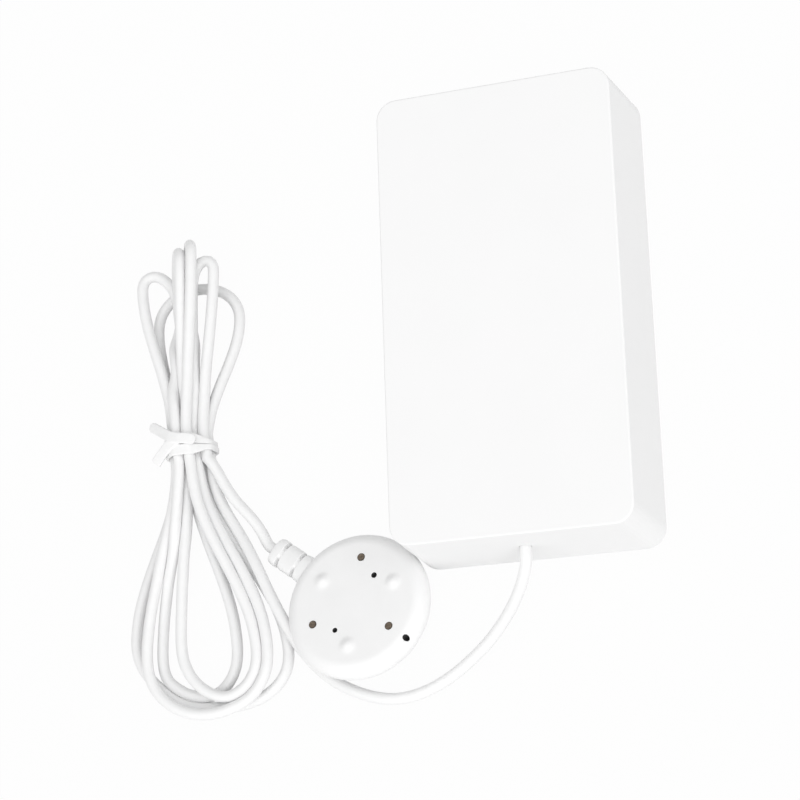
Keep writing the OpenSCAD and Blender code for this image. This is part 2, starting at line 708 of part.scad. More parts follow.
module crystal() color("#c5c8cc")
    translate([crystal_x_share * board_w, crystal_y_share * board_l, board_top_z])
    linear_extrude(crystal_h) {
        square([crystal_l - crystal_w, crystal_w], center = true);
        for (i = [-1, 1]) translate([i * (crystal_l - crystal_w) / 2, 0]) circle(crystal_w / 2);
    }

module capacitor() color("#34383f") translate([-cap_x, sounder_y, board_z - cap_h]) difference() {
    union() {
        cylinder(r = cap_r, h = cap_h - cap_foot);
        translate([0, 0, cap_h - cap_foot]) slab(2 * cap_r, 2 * cap_r, 0, cap_foot);
    }
    translate([0, 0, cap_h - cap_foot - 2 * cap_bead_r])
        rotate_extrude() translate([cap_r, 0]) circle(cap_bead_r);
}

module radio_module() color("#25523a") translate([radio_x_share * board_w, radio_y_share * board_l, 0])
    slab(radio_w, radio_l, board_top_z, board_top_z + radio_t);
module radio_shield() color("#c5c8cc")
    translate([radio_x_share * board_w, radio_y_share * board_l - (radio_l - shield_l) / 2 + shield_inset,
        board_top_z + radio_t])
        round_plate(radio_w - 2 * shield_inset, shield_l, shield_edge_r, shield_h);

// Wire antenna on two feet, along the board's top end and down one side
module rod(a, b, r) translate(a) {
    v = b - a;
    rotate([0, acos(v.z / norm(v)), atan2(v.y, v.x)]) cylinder(r = r, h = norm(v));
}
module antenna() color("#c8a86a") {
    x = board_w / 2 - antenna_inset;
    y = board_l / 2 - antenna_inset;
    z = board_top_z + antenna_lift;
    far_x = x - board_w * antenna_w_share;
    rod([x, y - antenna_l, board_top_z], [x, y - antenna_l, z], antenna_r);
    rod([x, y - antenna_l, z], [x, y, z], antenna_r);
    rod([x, y, z], [far_x, y, z], antenna_r);
    rod([far_x, y, board_top_z], [far_x, y, z], antenna_r);
    for (p = [[x, y - antenna_l, z], [x, y, z], [far_x, y, z]]) translate(p) sphere(r = antenna_r);
}

module status_led() color("#e9f0d8") translate([0, led_y, 0]) {
    slab(led_w, led_l, board_top_z, board_top_z + led_h - led_lens_r / 2);
    translate([0, 0, board_top_z]) cylinder(r = led_lens_r, h = led_h);
}

module sounder() color("#1f2124") translate([0, sounder_y, board_z - sounder_h]) difference() {
    union() {
        cylinder(r = sounder_r - sounder_rim, h = sounder_h);
        translate([0, 0, sounder_rim]) cylinder(r = sounder_r, h = sounder_h - sounder_rim);
    }
    translate([0, 0, -over]) cylinder(r = sounder_hole_r, h = sounder_hole_l + over);
}

button_flange_z = cover_t + button_seat;
stem_bottom_z = switch_bottom_z - switch_stem_out;
module test_button() color("#d9dcde") translate([button_x, button_y, 0]) {
    translate([0, 0, button_recess + button_edge_r])
        cylinder(r = button_r, h = button_flange_z - button_recess - button_edge_r);
    translate([0, 0, button_recess])
        cylinder(r1 = button_r - button_edge_r, r2 = button_r, h = button_edge_r);
    translate([0, 0, button_flange_z]) cylinder(r = button_r + button_flange_w, h = button_flange_t);
    translate([0, 0, button_flange_z]) cylinder(r = button_stem_r, h = stem_bottom_z - button_flange_z);
}
module test_switch() color("#2b2d31") translate([button_x, button_y, 0]) difference() {
    slab(switch_w, switch_w, switch_bottom_z, board_z);
    translate([0, 0, switch_bottom_z - over])
        cylinder(r = switch_stem_r + switch_stem_gap, h = over + switch_stem_in + button_travel + button_gap);
}
module switch_stem() color("#a33a32") translate([button_x, button_y, stem_bottom_z])
    cylinder(r = switch_stem_r, h = switch_stem_out + switch_stem_in);

module cable_header() color("#e8e3d2") difference() {
    translate([0, plug_y0 + header_grip + (plug_l - header_grip + header_back) / 2, 0])
        slab(plug_w + 2 * (plug_fit + header_wall), plug_l - header_grip + header_back,
            plug_z - plug_h / 2 - plug_fit - header_wall, board_z);
    translate([0, plug_y0 + (plug_l + plug_fit) / 2, 0])
        slab(plug_w + 2 * plug_fit, plug_l + plug_fit,
            plug_z - plug_h / 2 - plug_fit, plug_z + plug_h / 2 + plug_fit);
}
module cable_plug() color("#f0ece0") translate([0, plug_y0 + plug_l / 2, 0])
    slab(plug_w, plug_l, plug_z - plug_h / 2, plug_z + plug_h / 2);

module cable_clamp() color("#dcdfe1") translate([0, saddle_y, 0]) difference() {
    slab(saddle_w, saddle_l - 2 * clamp_inset, cord_z - saddle_gap - clamp_h, cord_z - saddle_gap);
    translate([0, 0, cord_z]) rotate([90, 0, 0]) cylinder(r = cable_r + fit, h = saddle_l, center = true);
    for (i = [-1, 1]) translate([i * clamp_screw_x, 0, cord_z - saddle_gap - clamp_h - over])
        cylinder(r = board_screw_r + screw_hole_gap, h = clamp_h + 2 * over);
}
module clamp_screws() color("#b9bcc0") for (i = [-1, 1])
    translate([i * clamp_screw_x, saddle_y, cord_z - saddle_gap - clamp_h]) pan_screw(clamp_screw_l);

module lead_tail() color("#eef0f1") translate([0, exit_y, cord_z]) rotate([-90, 0, 0])
    cylinder(r = cable_r, h = tail_end_y - exit_y);
module lead_core(side) intersection() {
    rod([side * core_step, tail_end_y, cord_z] - core_over,
        [side * plug_core_step, plug_y0, plug_z] + core_over, core_r);
    translate([0, (tail_end_y + plug_y0) / 2, 0]) slab(plug_w, plug_y0 - tail_end_y, 0, board_z);
}
module lead_cores() {
    color("#b5302c") lead_core(-1);
    color("#24262a") lead_core(1);
}

// Probe pieces are drawn about the middle of the rim, with local +X along the strain relief
module on_probe() translate([probe_at.x, probe_at.y, probe_z])
    rotate([0, 0, probe_lean_dir]) rotate([0, probe_tilt, 0]) rotate([0, 0, relief_dir - probe_lean_dir])
        children();
module toward(dir, at) rotate([0, 0, dir - relief_dir]) translate([at, 0, 0]) children();
edge_steps = 12;
dome_steps = 10;
dome_half = asin(face_r / dome_r);
module probe_disc() rotate_extrude($fn = 96) polygon(concat(
    [[0, edge_r]],
    [for (i = [0:edge_steps]) let(a = 90 - 180 * i / edge_steps) [face_r + edge_r * cos(a), edge_r * sin(a)]],
    [for (i = [dome_steps - 1:-1:0]) let(a = dome_half * i / dome_steps)
        [dome_r * sin(a), dome_centre_z - dome_r * cos(a)]]));
// Half the plan of the strain relief: a neck that runs out of the rim, then barrel, slots and collar
neck_steps = 6;
module relief_plan() {
    x0 = probe_r - neck_l / 2;
    half = neck_w / 2;
    polygon(concat(
        [[0, 0], [0, half + neck_flare], [x0 - neck_flare / 2, half + neck_flare]],
        [for (i = [0:neck_steps]) let(a = 90 * i / neck_steps)
            [x0 + neck_flare * sin(a) - neck_flare / 2,
                half + neck_flare * cos(a) - (neck_w - relief_w) / 2]],
        [[relief_l - cable_d, relief_w / 2], [relief_l, collar_w / 2], [relief_l, 0]]));
}
module relief_section() {
    square([relief_w - relief_t, relief_t], center = true);
    for (i = [-1, 1]) translate([i * (relief_w - relief_t) / 2, 0]) circle(relief_t / 2);
}
module relief() difference() {
    intersection() {
        translate([0, 0, -relief_t / 2]) linear_extrude(relief_t) {
            relief_plan();
            mirror([0, 1]) relief_plan();
        }
        union() {
            rotate([90, 0, 90]) linear_extrude(relief_l + over) relief_section();
            slab(2 * (probe_r + neck_l / 4), 2 * probe_r, -relief_t / 2, relief_t / 2);
        }
    }
    for (s = slot_places, i = [-1, 1])
        translate([s, i * (relief_core_w + relief_w) / 2, 0]) slab(slot_w, relief_w, -relief_t, relief_t);
}
module probe_body() color("#f1f2f3") on_probe() difference() {
    union() {
        probe_disc();
        relief();
        for (a = foot_dirs) toward(a, foot_at) translate([0, 0, edge_r + foot_h - foot_sphere_r])
            sphere(r = foot_sphere_r);
    }
    for (a = contact_dirs) toward(a, contact_at) cylinder(r = contact_d / 2, h = edge_r + over);
    for (a = hole_dirs) toward(a, hole_at) translate([0, 0, edge_r - hole_depth])
        cylinder(r = hole_r, h = hole_depth + over);
    toward(side_hole_dir, side_hole_at) cylinder(r = side_hole_r, h = edge_r + over);
    translate([0, 0, probe_board_z]) cylinder(r = probe_board_r, h = probe_board_t);
    translate([probe_tail_in - probe_core_in, 0, 0]) rotate([0, 90, 0])
        cylinder(r = cable_r, h = relief_l + over - probe_tail_in + probe_core_in);
}
module probe_board() color("#2f6b46") on_probe() difference() {
    translate([0, 0, probe_board_z]) cylinder(r = probe_board_r, h = probe_board_t);
    translate([probe_tail_in - probe_core_in, 0, 0]) rotate([0, 90, 0])
        cylinder(r = cable_r, h = probe_board_r - probe_tail_in + probe_core_in + over);
}
module probe_contacts() color("#8d7f68") on_probe() for (a = contact_dirs) toward(a, contact_at)
    translate([0, 0, probe_board_z + probe_board_t])
        cylinder(r = contact_d / 2, h = edge_r + contact_dome - probe_board_z - probe_board_t);
module probe_tail() color("#eef0f1") on_probe() translate([probe_tail_in, 0, 0]) rotate([0, 90, 0])
    cylinder(r = cable_r, h = relief_l - probe_tail_in);
module probe_cores() color("#b5302c") on_probe() for (i = [-1, 1])
    translate([probe_tail_in - probe_core_in, i * probe_core_step, 0]) rotate([0, 90, 0])
        cylinder(r = probe_core_r, h = probe_core_in);

module box_lead() color("#eef0f1") tube(box_lead_route, cable_r, lead_sides);
module cord_hank() color("#eef0f1") tube(hank_path, cable_r, tube_sides);
module probe_lead() color("#eef0f1") tube(probe_lead_route, cable_r, lead_sides);

// Tie: a flat strip twice round the hank's waist, with two tails over its top
tie_x0 = waist_place(0).x - cable_r - tie_gap;
tie_x1 = waist_place(4).x + cable_r + tie_gap;
tie_top = waist_place(9).y + cable_r + tie_gap;
module tie_outline(t, l) translate([0, l / 2, 0]) rotate([90, 0, 0]) linear_extrude(l) {
    r = cable_r + tie_gap + t;
    for (x = [tie_x0 - t + r, tie_x1 + t - r], z = [tie_t - t + r, tie_top + t - r])
        translate([x, z]) circle(r);
    translate([tie_x0 - t, tie_t - t + r]) square([tie_x1 - tie_x0 + 2 * t, tie_top - tie_t + 2 * t - 2 * r]);
    translate([tie_x0 - t + r, tie_t - t]) square([tie_x1 - tie_x0 + 2 * t - 2 * r, tie_top - tie_t + 2 * t]);
}
module cord_tie() color("#f3f4f4") translate([hank_at.x, hank_at.y, 0]) {
    for (i = [-1, 1]) translate([0, i * (tie_w / 2 + tie_side_gap), 0]) difference() {
        tie_outline(tie_t, tie_w);
        tie_outline(0, tie_w + 2 * over);
    }
    translate([tie_x0 / 2, 0, 0]) slab(tie_knot_l, 2 * tie_w, tie_top + tie_t / 2, tie_top + 2 * tie_t);
    for (s = tie_tails_shares) translate([s[0] * tie_x0, s[1] * tie_w, tie_top + tie_t])
        rotate([0, 0, s[2]]) {
        translate([0, -tie_w / 2, 0]) cube([tie_w * s[3], tie_w, tie_t]);
        if (s[4] > 0) translate([tie_w * s[3], 0, 0]) cylinder(r = tie_w / 2, h = tie_t);
    }
}

front_housing();
rear_cover();
battery_door();
cover_screws();
battery_cell_1();
battery_cell_2();
battery_cell_3();
battery_springs();
contact_plates();
main_board();
board_screws();
board_chips();
board_passives();
crystal();
capacitor();
radio_module();
radio_shield();
antenna();
status_led();
sounder();
test_button();
test_switch();
switch_stem();
cable_header();
cable_plug();
cable_clamp();
clamp_screws();
lead_tail();
lead_cores();
probe_body();
probe_board();
probe_contacts();
probe_tail();
probe_cores();
box_lead();
cord_hank();
probe_lead();
cord_tie();
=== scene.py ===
# %% [markdown]
# # A water leak detector: wall case, flat contact probe and a hank of spare cable
# Every piece made here is put on it by the same numbers, so that nothing has to be fitted by eye.

# %% Load the frame
import math

import bmesh
import bpy
import numpy as np
from mathutils import Matrix, Vector


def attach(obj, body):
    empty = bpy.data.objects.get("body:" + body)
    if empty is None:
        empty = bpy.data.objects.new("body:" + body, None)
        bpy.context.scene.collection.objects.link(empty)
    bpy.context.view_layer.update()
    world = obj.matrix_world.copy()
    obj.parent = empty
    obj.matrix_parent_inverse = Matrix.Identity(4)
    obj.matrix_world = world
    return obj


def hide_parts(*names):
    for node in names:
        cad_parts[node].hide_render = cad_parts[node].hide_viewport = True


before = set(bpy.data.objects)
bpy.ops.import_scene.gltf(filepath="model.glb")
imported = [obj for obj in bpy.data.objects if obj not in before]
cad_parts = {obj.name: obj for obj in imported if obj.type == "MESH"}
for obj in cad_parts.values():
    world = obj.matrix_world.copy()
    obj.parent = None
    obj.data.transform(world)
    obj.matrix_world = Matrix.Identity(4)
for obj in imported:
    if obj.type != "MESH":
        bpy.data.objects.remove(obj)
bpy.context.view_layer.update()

MM = 0.001

# %% [markdown]
# ## The camera
# The photograph looks steeply down on the detector, from its right and a little below it. A camera can
# be aimed with an Euler angle or a constraint, or by writing its three axes into a matrix. The matrix is
# used here, because the axes were worked out from the corners of the case, and it keeps the slight roll.

# %% Place the camera
PICTURE_PX = 800
FOCAL_PX = 2277.8
SENSOR_MM = 36
CLIP_START = 0.01
CAMERA_AT = Vector((142.34, -159.60, 506.44)) * MM
CAMERA_RIGHT = Vector((0.9409, -0.0319, -0.3371))
CAMERA_UP = Vector((0.1182, 0.9639, 0.2387))

camera = bpy.data.objects.new("camera", bpy.data.cameras.new("camera"))
camera.data.sensor_width = SENSOR_MM
camera.data.lens = FOCAL_PX / PICTURE_PX * SENSOR_MM
camera.data.clip_start = CLIP_START
axes = Matrix((CAMERA_RIGHT, CAMERA_UP, CAMERA_RIGHT.cross(CAMERA_UP))).transposed()
camera.matrix_world = Matrix.Translation(CAMERA_AT) @ axes.to_4x4()
bpy.context.scene.collection.objects.link(camera)
bpy.context.scene.camera = camera
print("lens:", round(camera.data.lens, 1), "mm")

# %% [markdown]
# ## The cable's way
# One white PVC cable leaves the wall of the case, rounds the probe, runs into the waist of the hank, is
# wound up and down through the tie and comes back to the probe. The way is given as points, in the order
# in which the cable runs. It could be drawn by hand as one long curve, but half loops with a reach, a
# width and a turn of their own are easier to change, so the hank is worked out from a small table.

# %% Points of the two leads
CABLE_D = 2.8 * MM
CABLE_R = CABLE_D / 2
WALL_Y = -54.9615 * MM
WALL_Z = 14 * MM
CORNER = np.array((-30, -55.5, 0)) * MM
box_lead = np.array((
    (29.4, -4.5, 12.8), (28.1, -6.9, 11.1), (26.4, -9.3, 9.3), (24.2, -11.9, 7.3), (21.2, -14.9, 5.1),
    (17, -18.7, 3), (12, -22.5, 1.8), (6, -26.5, 1.4), (-0.5, -29.3, 1.4), (-6.6, -30.3, 1.4),
    (-11.1, -29.7, 1.4), (-16.1, -28.1, 1.4), (-21.2, -25.6, 1.4), (-25.3, -22.6, 1.5),
    (-28.2, -19.4, 2.1), (-30.7, -15.8, 3.5), (-33.8, -9.8, 4.7), (-37, -3.7, 4.75), (-40.8, 4.6, 4.6),
    (-44.1, 10.6, 3.7), (-46.6, 14.6, 3.1), (-49.4, 18.5, 2.7), (-51.7, 22.4, 2.4), (-53, 26.1, 2.4),
    (-53.65, 29.8, 2.5))) * MM + CORNER
probe_lead = np.array((
    (-51, 29.9, 4.8), (-49.5, 26.4, 4.5), (-48.4, 24.2, 4.3), (-47, 22, 4.1), (-45.2, 19.9, 3.8),
    (-42.4, 16.9, 3.3), (-40, 13.3, 2.5), (-38.65, 9.88, 1.99), (-36.41, 8.24, 2.39))) * MM + CORNER
wall_exit = np.array(((0, WALL_Y, WALL_Z), (0, WALL_Y - CABLE_D, WALL_Z)))
print("points of the leads:", len(box_lead) + len(probe_lead) + len(wall_exit))

# %% [markdown]
# ### The hank
# Ten strands cross the waist in three layers. Nine half loops join them: each leaves one place, rounds a
# tip and comes back to another place. Two of the upper ones stand nearly on edge, so each has a turn in
# degrees. The last number of each half loop is the height of its tip over the table, in strands.

# %% Half loops of the hank
HANK_AT = CORNER + np.array((-58.2, 36, 0)) * MM
WAIST_HALF = 3 * MM
PITCH = 2.85 * MM
WAIST_Z = 2.5 * MM
UPPER_REACH = 52.2 * MM
LOWER_REACH = 66.8 * MM
HALF_W = 20.5 * MM
# Places in the waist, across and up, in strands from its middle and from its lowest layer
PLACES = [(-1.5, 0), (-0.65, 1.75), (-0.5, 0), (0.5, 0), (1.5, 0), (-1.35, 0.9), (-0.42, 0.9), (0.3, 1.75),
          (0.5, 0.9), (1.42, 0.9)]
# The bundle leans a little: how far it moves to the side for each millimetre along it
WAIST_LEAN = -0.16
# From and to which place, up or down, side of the first leg, then shares of the reach and of the half
# width: reach, the tip's half width, its lean, its length and its slant. Last its turn and its height
LOBES = [
    (4, 0, 1, 1, 0.814, 0.561, 0.063, 0.43, 0, 0, 0),
    (0, 3, -1, -1, 0.967, 1, 0.19, 0.663, 0.146, 0, 0),
    (3, 7, 1, -1, 1, 0.176, 0.115, 0.176, 0, 60, 2.75),
    (7, 6, -1, 1, 0.94, 0.496, 0.358, 0.5, 0.12, 0, 1.16),
    (6, 2, 1, 1, 0.969, 0.176, -0.045, 0.176, 0, 60, 2.65),
    (2, 1, -1, 1, 0.94, 0.494, 0.037, 0.5, 0, 0, 0),
    (1, 5, 1, 1, 0.878, 0.25, -0.375, 0.24, -0.17, -12, 1.1),
    (5, 8, -1, -1, 1, 0.786, 0.196, 0.683, 0, 0, 1.16),
    (8, 9, 1, -1, 0.914, 0.145, 0.27, 0.16, 0.1, 0, 2.42)]
LEG_STEPS = np.array((0, 0.2, 0.4, 0.6, 0.8))
TIP_TURNS = np.linspace(0, math.pi, 13)


def ease(t):
    """From 0 to 1 with a soft start and a soft end."""
    return (1 - np.cos(math.pi * t)) / 2


def waist_place(place, up):
    """Across and up, in metres, where the strand of this place leaves the waist upwards or downwards."""
    return np.array((place[0] * PITCH + WAIST_LEAN * up * WAIST_HALF, WAIST_Z + place[1] * PITCH))


def half_loop(start, end, up, side, reach, width, lean, tip, slant, turn, layers):
    """Points from one place of the waist along a leg, round the tip and back to another place."""
    a, b = waist_place(PLACES[start], up), waist_place(PLACES[end], up)
    reach = reach * (UPPER_REACH if up > 0 else LOWER_REACH)
    out = side * width * HALF_W * np.array((math.cos(math.radians(turn)), math.sin(math.radians(turn))))
    middle = np.array((lean * HALF_W, CABLE_R + layers * PITCH))
    tip, slant = tip * HALF_W, side * slant * HALF_W
    leg = reach - tip
    points = [(a + (middle + out - a) * ease(t), up * (WAIST_HALF + (leg + slant - WAIST_HALF) * t))
              for t in LEG_STEPS]
    points += [(middle + out * math.cos(w), up * (leg + tip * math.sin(w) + slant * math.cos(w)))
               for w in TIP_TURNS]
    points += [(b + (middle - out - b) * ease(t), up * (WAIST_HALF + (leg - slant - WAIST_HALF) * t))
               for t in LEG_STEPS[::-1]]
    return [HANK_AT + (xz[0], y, xz[1]) for xz, y in points]


hank = np.array([p for lobe in LOBES for p in half_loop(*lobe)])
print("points of the hank:", len(hank))

# %% [markdown]
# ### From points to a cable that lies by itself
# A curve through such points still bends a little unevenly and runs through its neighbours where strands
# cross. Blender's own physics has no simple cable, and a cloth simulation is slow for 1.3 m of it. A few
# hundred rounds of a plain rule do the job: each point stays near its drawn place, keeps its distance to
# the next one, evens out the bend, more so where it is tight, and moves aside where another strand or the
# table is too close. Under the tie the strands stay inside its width and off the strip below them.

# %% A smooth line with even steps
STEP = 1.25 * MM
CURVE_STEPS = 12


def through(points):
    """A curve through the points, with centripetal steps, so that uneven spacing makes no loops."""
    p = np.vstack((2 * points[0] - points[1], points, 2 * points[-1] - points[-2]))
    line = []
    for p0, p1, p2, p3 in zip(p, p[1:], p[2:], p[3:]):
        k1, k2, k3 = (max(np.linalg.norm(b - a), 1e-6) ** 0.5 for a, b in ((p0, p1), (p1, p2), (p2, p3)))
        m1 = (p1 - p0) / k1 - (p2 - p0) / (k1 + k2) + (p2 - p1) / k2
        m2 = (p2 - p1) / k2 - (p3 - p1) / (k2 + k3) + (p3 - p2) / k3
        for t in np.arange(CURVE_STEPS) / CURVE_STEPS:
            h = (2 * t**3 - 3 * t**2 + 1, t**3 - 2 * t**2 + t, -2 * t**3 + 3 * t**2, t**3 - t**2)
            line.append(h[0] * p1 + h[1] * k2 * m1 + h[2] * p2 + h[3] * k2 * m2)
    return np.array(line + [points[-1]])


def evened(line, step):
    """The same line with points an even step apart."""
    run = np.concatenate(([0], np.cumsum(np.linalg.norm(np.diff(line, axis=0), axis=1))))
    at = np.linspace(0, run[-1], int(round(run[-1] / step)) + 1)
    return np.column_stack([np.interp(at, run, line[:, k]) for k in range(3)])


drawn = evened(through(np.vstack((wall_exit, box_lead, hank, probe_lead))), STEP)
print("drawn cable:", round(len(drawn) * STEP, 3), "m")

# %% [markdown]
# ### Settle it
# The rule runs on all points at once as one array. The search for near strands is the slow part, so it is
# only done every few rounds. The first and the last points stay where the wall and the probe hold them.

# %% Let it lie
ROUNDS = 260
FIXED_ENDS = 4
NEAR_STEPS = int(8 * MM / STEP)
# Shares of each move that one round makes: back to the drawn place, to an even bend, to the length of
# a step, and away from another strand
PULL = 0.02
EVEN = 0.12
KEEP_LENGTH = 0.8
KEEP_APART = 0.6
# A bend of less than this radius is evened out more, up to so many times
TIGHT_BEND = 5.6 * MM
TIGHT_MOST = 4
SEARCH_EVERY = 10
CLEAR = CABLE_D * 1.01
TIE_HALF_L = 4 * MM
BUNDLE_HALF_W = 5.7 * MM
STRIP_ROOM = 0.9 * MM


def laid(line):
    """The line after it has settled on the table and beside its own strands."""
    x = line.copy()
    rest = np.linalg.norm(np.diff(line, axis=0), axis=1)
    for turn in range(ROUNDS):
        if turn % SEARCH_EVERY == 0:
            gap = np.linalg.norm(x[:, None] - x[None], axis=2)
            first, second = np.nonzero(np.triu(gap < 2 * CABLE_D, NEAR_STEPS))
        x += PULL * (line - x)
        bend = (x[:-2] + x[2:]) / 2 - x[1:-1]
        tight = np.linalg.norm(bend, axis=1) * 2 * TIGHT_BEND / STEP**2
        x[1:-1] += EVEN * bend * np.clip(tight, 1, TIGHT_MOST)[:, None]
        run = np.diff(x, axis=0)
        size = np.linalg.norm(run, axis=1)
        move = run * ((size - rest) / size / 2)[:, None] * KEEP_LENGTH
        x[:-1] += move
        x[1:] -= move
        apart = x[second] - x[first]
        size = np.maximum(np.linalg.norm(apart, axis=1), 1e-7)
        push = apart * (np.maximum(CLEAR - size, 0) / size / 2)[:, None] * KEEP_APART
        np.add.at(x, second, push)
        np.add.at(x, first, -push)
        x[:, 2] = np.maximum(x[:, 2], CABLE_R)
        held = (np.abs(x[:, 1] - HANK_AT[1]) < TIE_HALF_L) & (x[:, 0] < CORNER[0])
        reach = BUNDLE_HALF_W - CABLE_R
        middle = HANK_AT[0] + WAIST_LEAN * (x[held, 1] - HANK_AT[1])
        x[held, 0] = np.clip(x[held, 0], middle - reach, middle + reach)
        x[held, 2] = np.maximum(x[held, 2], CABLE_R + STRIP_ROOM)
        x[:FIXED_ENDS], x[-FIXED_ENDS:] = line[:FIXED_ENDS], line[-FIXED_ENDS:]
    return x


cable_line = laid(drawn)

# %% [markdown]
# ### The cable itself
# A Blender curve with a round bevel is the plainest cable: the line stays editable, and the thickness is
# one number. It is given as the points' radius under a bevel of one metre, because Blender's box of a curve
# counts that radius and not the bevel.

# %% Make the cable
CABLE_SIDES = 5


def curve_piece(name, line, radius, sides):
    data = bpy.data.curves.new(name, "CURVE")
    data.dimensions = "3D"
    data.bevel_depth = 1
    data.bevel_resolution = sides
    data.use_fill_caps = True
    spline = data.splines.new("POLY")
    spline.points.add(len(line) - 1)
    for point, place in zip(spline.points, line):
        point.co, point.radius = (*place, 1), radius
    piece = bpy.data.objects.new(name, data)
    bpy.context.scene.collection.objects.link(piece)
    return piece


cable = curve_piece("cable", cable_line, CABLE_R, CABLE_SIDES)
print("points of the cable:", len(cable.data.splines[0].points))

# %% [markdown]
# ## Finishes
# Each finish is a node tree on the Principled shader. One small function adds a node, sets it and links
# it, and another ends the tree with the shader and its bump. Colours are written as the hex values that a
# screen shows, and one function turns them to the linear values that the shader works in.

# %% Helpers for finishes
PATTERN_LOW, PATTERN_HIGH = 0.3, 0.7


def linear(hex_colour):
    parts = [int(hex_colour[i:i + 2], 16) / 255 for i in (1, 3, 5)]
    return tuple(c / 12.92 if c <= 0.04045 else ((c + 0.055) / 1.055) ** 2.4 for c in parts) + (1,)


def add(tree, kind, inputs=(), **settings):
    made = tree.nodes.new(kind)
    for name, value in settings.items():
        setattr(made, name, value)
    for name, value in dict(inputs).items():
        if isinstance(value, bpy.types.NodeSocket):
            tree.links.new(value, made.inputs[name])
        else:
            made.inputs[name].default_value = value
    return made


def finish(name):
    """An empty node tree with its output, and the place on the piece in metres."""
    material = bpy.data.materials.new(name)
    material.use_nodes = True
    tree = material.node_tree
    tree.nodes.clear()
    out = add(tree, "ShaderNodeOutputMaterial")
    return material, tree, out, add(tree, "ShaderNodeTexCoord").outputs["Object"]


def grain(tree, place, size_mm, detail=2):
    """Random grain whose spots are about size_mm across."""
    return add(tree, "ShaderNodeTexNoise", {"Vector": place, "Scale": 1 / (size_mm * MM), "Detail": detail})


def spread(tree, value, low, high):
    """The middle of a pattern's range, stretched between two values."""
    made = add(tree, "ShaderNodeMapRange", {
        "Value": value, "From Min": PATTERN_LOW, "From Max": PATTERN_HIGH, "To Min": low, "To Max": high})
    return made.outputs["Result"]


def two_colours(tree, factor, first, second):
    made = add(tree, "ShaderNodeMix", {"Factor": factor}, data_type="RGBA")
    for socket, colour in zip([s for s in made.inputs if s.type == "RGBA"], (first, second)):
        if isinstance(colour, bpy.types.NodeSocket):
            tree.links.new(colour, socket)
        else:
            socket.default_value = colour
    return [s for s in made.outputs if s.type == "RGBA"][0]


def coat(tree, out, inputs, height=None, depth_mm=0):
    """The shader of a finish. A height pattern becomes a bump as deep as depth_mm."""
    if height is not None:
        bump = add(tree, "ShaderNodeBump", {"Height": height, "Distance": depth_mm * MM, "Strength": 1})
        inputs["Normal"] = bump.outputs["Normal"]
    shader = add(tree, "ShaderNodeBsdfPrincipled", inputs)
    tree.links.new(shader.outputs["BSDF"], out.inputs["Surface"])


print("a mid grey is linear", round(linear("#808080")[0], 3))

# %% [markdown]
# ### Moulded plastics
# The case, the cover, the probe and the small inner parts are injection moulded. A spark-eroded mould
# leaves a fine matt grain, and thick and thin walls cool to slightly different tones. So each plastic has
# two close tones, a roughness that varies a little, and a shallow bump of the mould's grain.

# %% A moulded plastic
MOULDED_VARIES = 0.04


def moulded(name, hex_colour, tone_hex, roughness, grain_mm, depth_mm, ior, tone_mm=18):
    material, tree, out, place = finish(name)
    grit = grain(tree, place, grain_mm).outputs["Fac"]
    tone = spread(tree, grain(tree, place, tone_mm).outputs["Fac"], 0, 1)
    coat(tree, out, {
        "Base Color": two_colours(tree, tone, linear(hex_colour), linear(tone_hex)),
        "Roughness": spread(tree, grit, roughness - MOULDED_VARIES, roughness + MOULDED_VARIES),
        "IOR": ior}, grit, depth_mm)
    return material


# ABS from a fine spark-eroded mould: matt and even, with no clear reflection. The real grain is about
# 0.1 mm and is drawn at 0.4 mm so that it shows.
ABS_IOR = 1.54
case_abs = moulded("abs_white_fine_grain", "#f8f8f8", "#f7f7f7", 0.52, 0.4, 0.006, ABS_IOR)
# The cover is the same ABS from another mould, a touch greyer and coarser.
cover_abs = moulded("abs_white_coarse_grain", "#f2f2f2", "#eeeeee", 0.56, 0.6, 0.012, ABS_IOR)
# The door's and the button's ABS is polished a little by fingers.
door_abs = moulded("abs_white_handled", "#f0f0f0", "#ececec", 0.46, 0.6, 0.01, ABS_IOR)
button_abs = moulded("abs_pale_grey_handled", "#dcdfe1", "#d5d9db", 0.4, 0.5, 0.008, ABS_IOR)
# The probe is ABS from a finer mould, so its round rim catches a soft, wide highlight.
probe_abs = moulded("abs_white_soft_grain", "#fafafa", "#f7f7f7", 0.42, 0.5, 0.006, ABS_IOR, 9)
# Inside the probe's holes the plastic is the same, bare and rough, and lies in shade, so its walls get a
# painted shade, nearly black.
bore_painted_shade = moulded("abs_bore_painted_shade", "#3a3a3a", "#2e2e2e", 0.8, 0.3, 0.02, ABS_IOR, 2)
# Polyamide is waxy and slightly yellow. It makes the header, the plug and the clamp.
header_nylon = moulded("polyamide_cream_moulded", "#ece6d3", "#e4ddc6", 0.5, 0.8, 0.01, 1.53, 6)
# PBT with glass fibre is dull black and slightly uneven. It makes the sounder and the switch.
sounder_pbt = moulded("pbt_black_moulded", "#232529", "#191b1e", 0.45, 0.5, 0.015, 1.57, 3)
# Chip packages are pressed epoxy: dark grey, even and slightly sandy.
chip_epoxy = moulded("epoxy_black_pressed", "#2b2d31", "#232427", 0.6, 0.25, 0.01, 1.55, 2)
# The switch's plunger is acetal: smooth, slippery and a little deeper where the light enters.
stem_acetal = moulded("acetal_red_moulded", "#a8382f", "#9a3028", 0.3, 0.8, 0.004, 1.48, 2)
print("plastics:", len([m for m in bpy.data.materials if "moulded" in m.name or "abs" in m.name]))

# %% [markdown]
# ### The cable's jacket and the tie
# The jacket is soft PVC, extruded through a round die. It is smoother than ABS and slightly glossy, and
# its surface is a little uneven along its way. A plain colour would look like paint, so a slow and a fine
# pattern are added to one bump. The tie is a strip of the same PVC, only more matt.

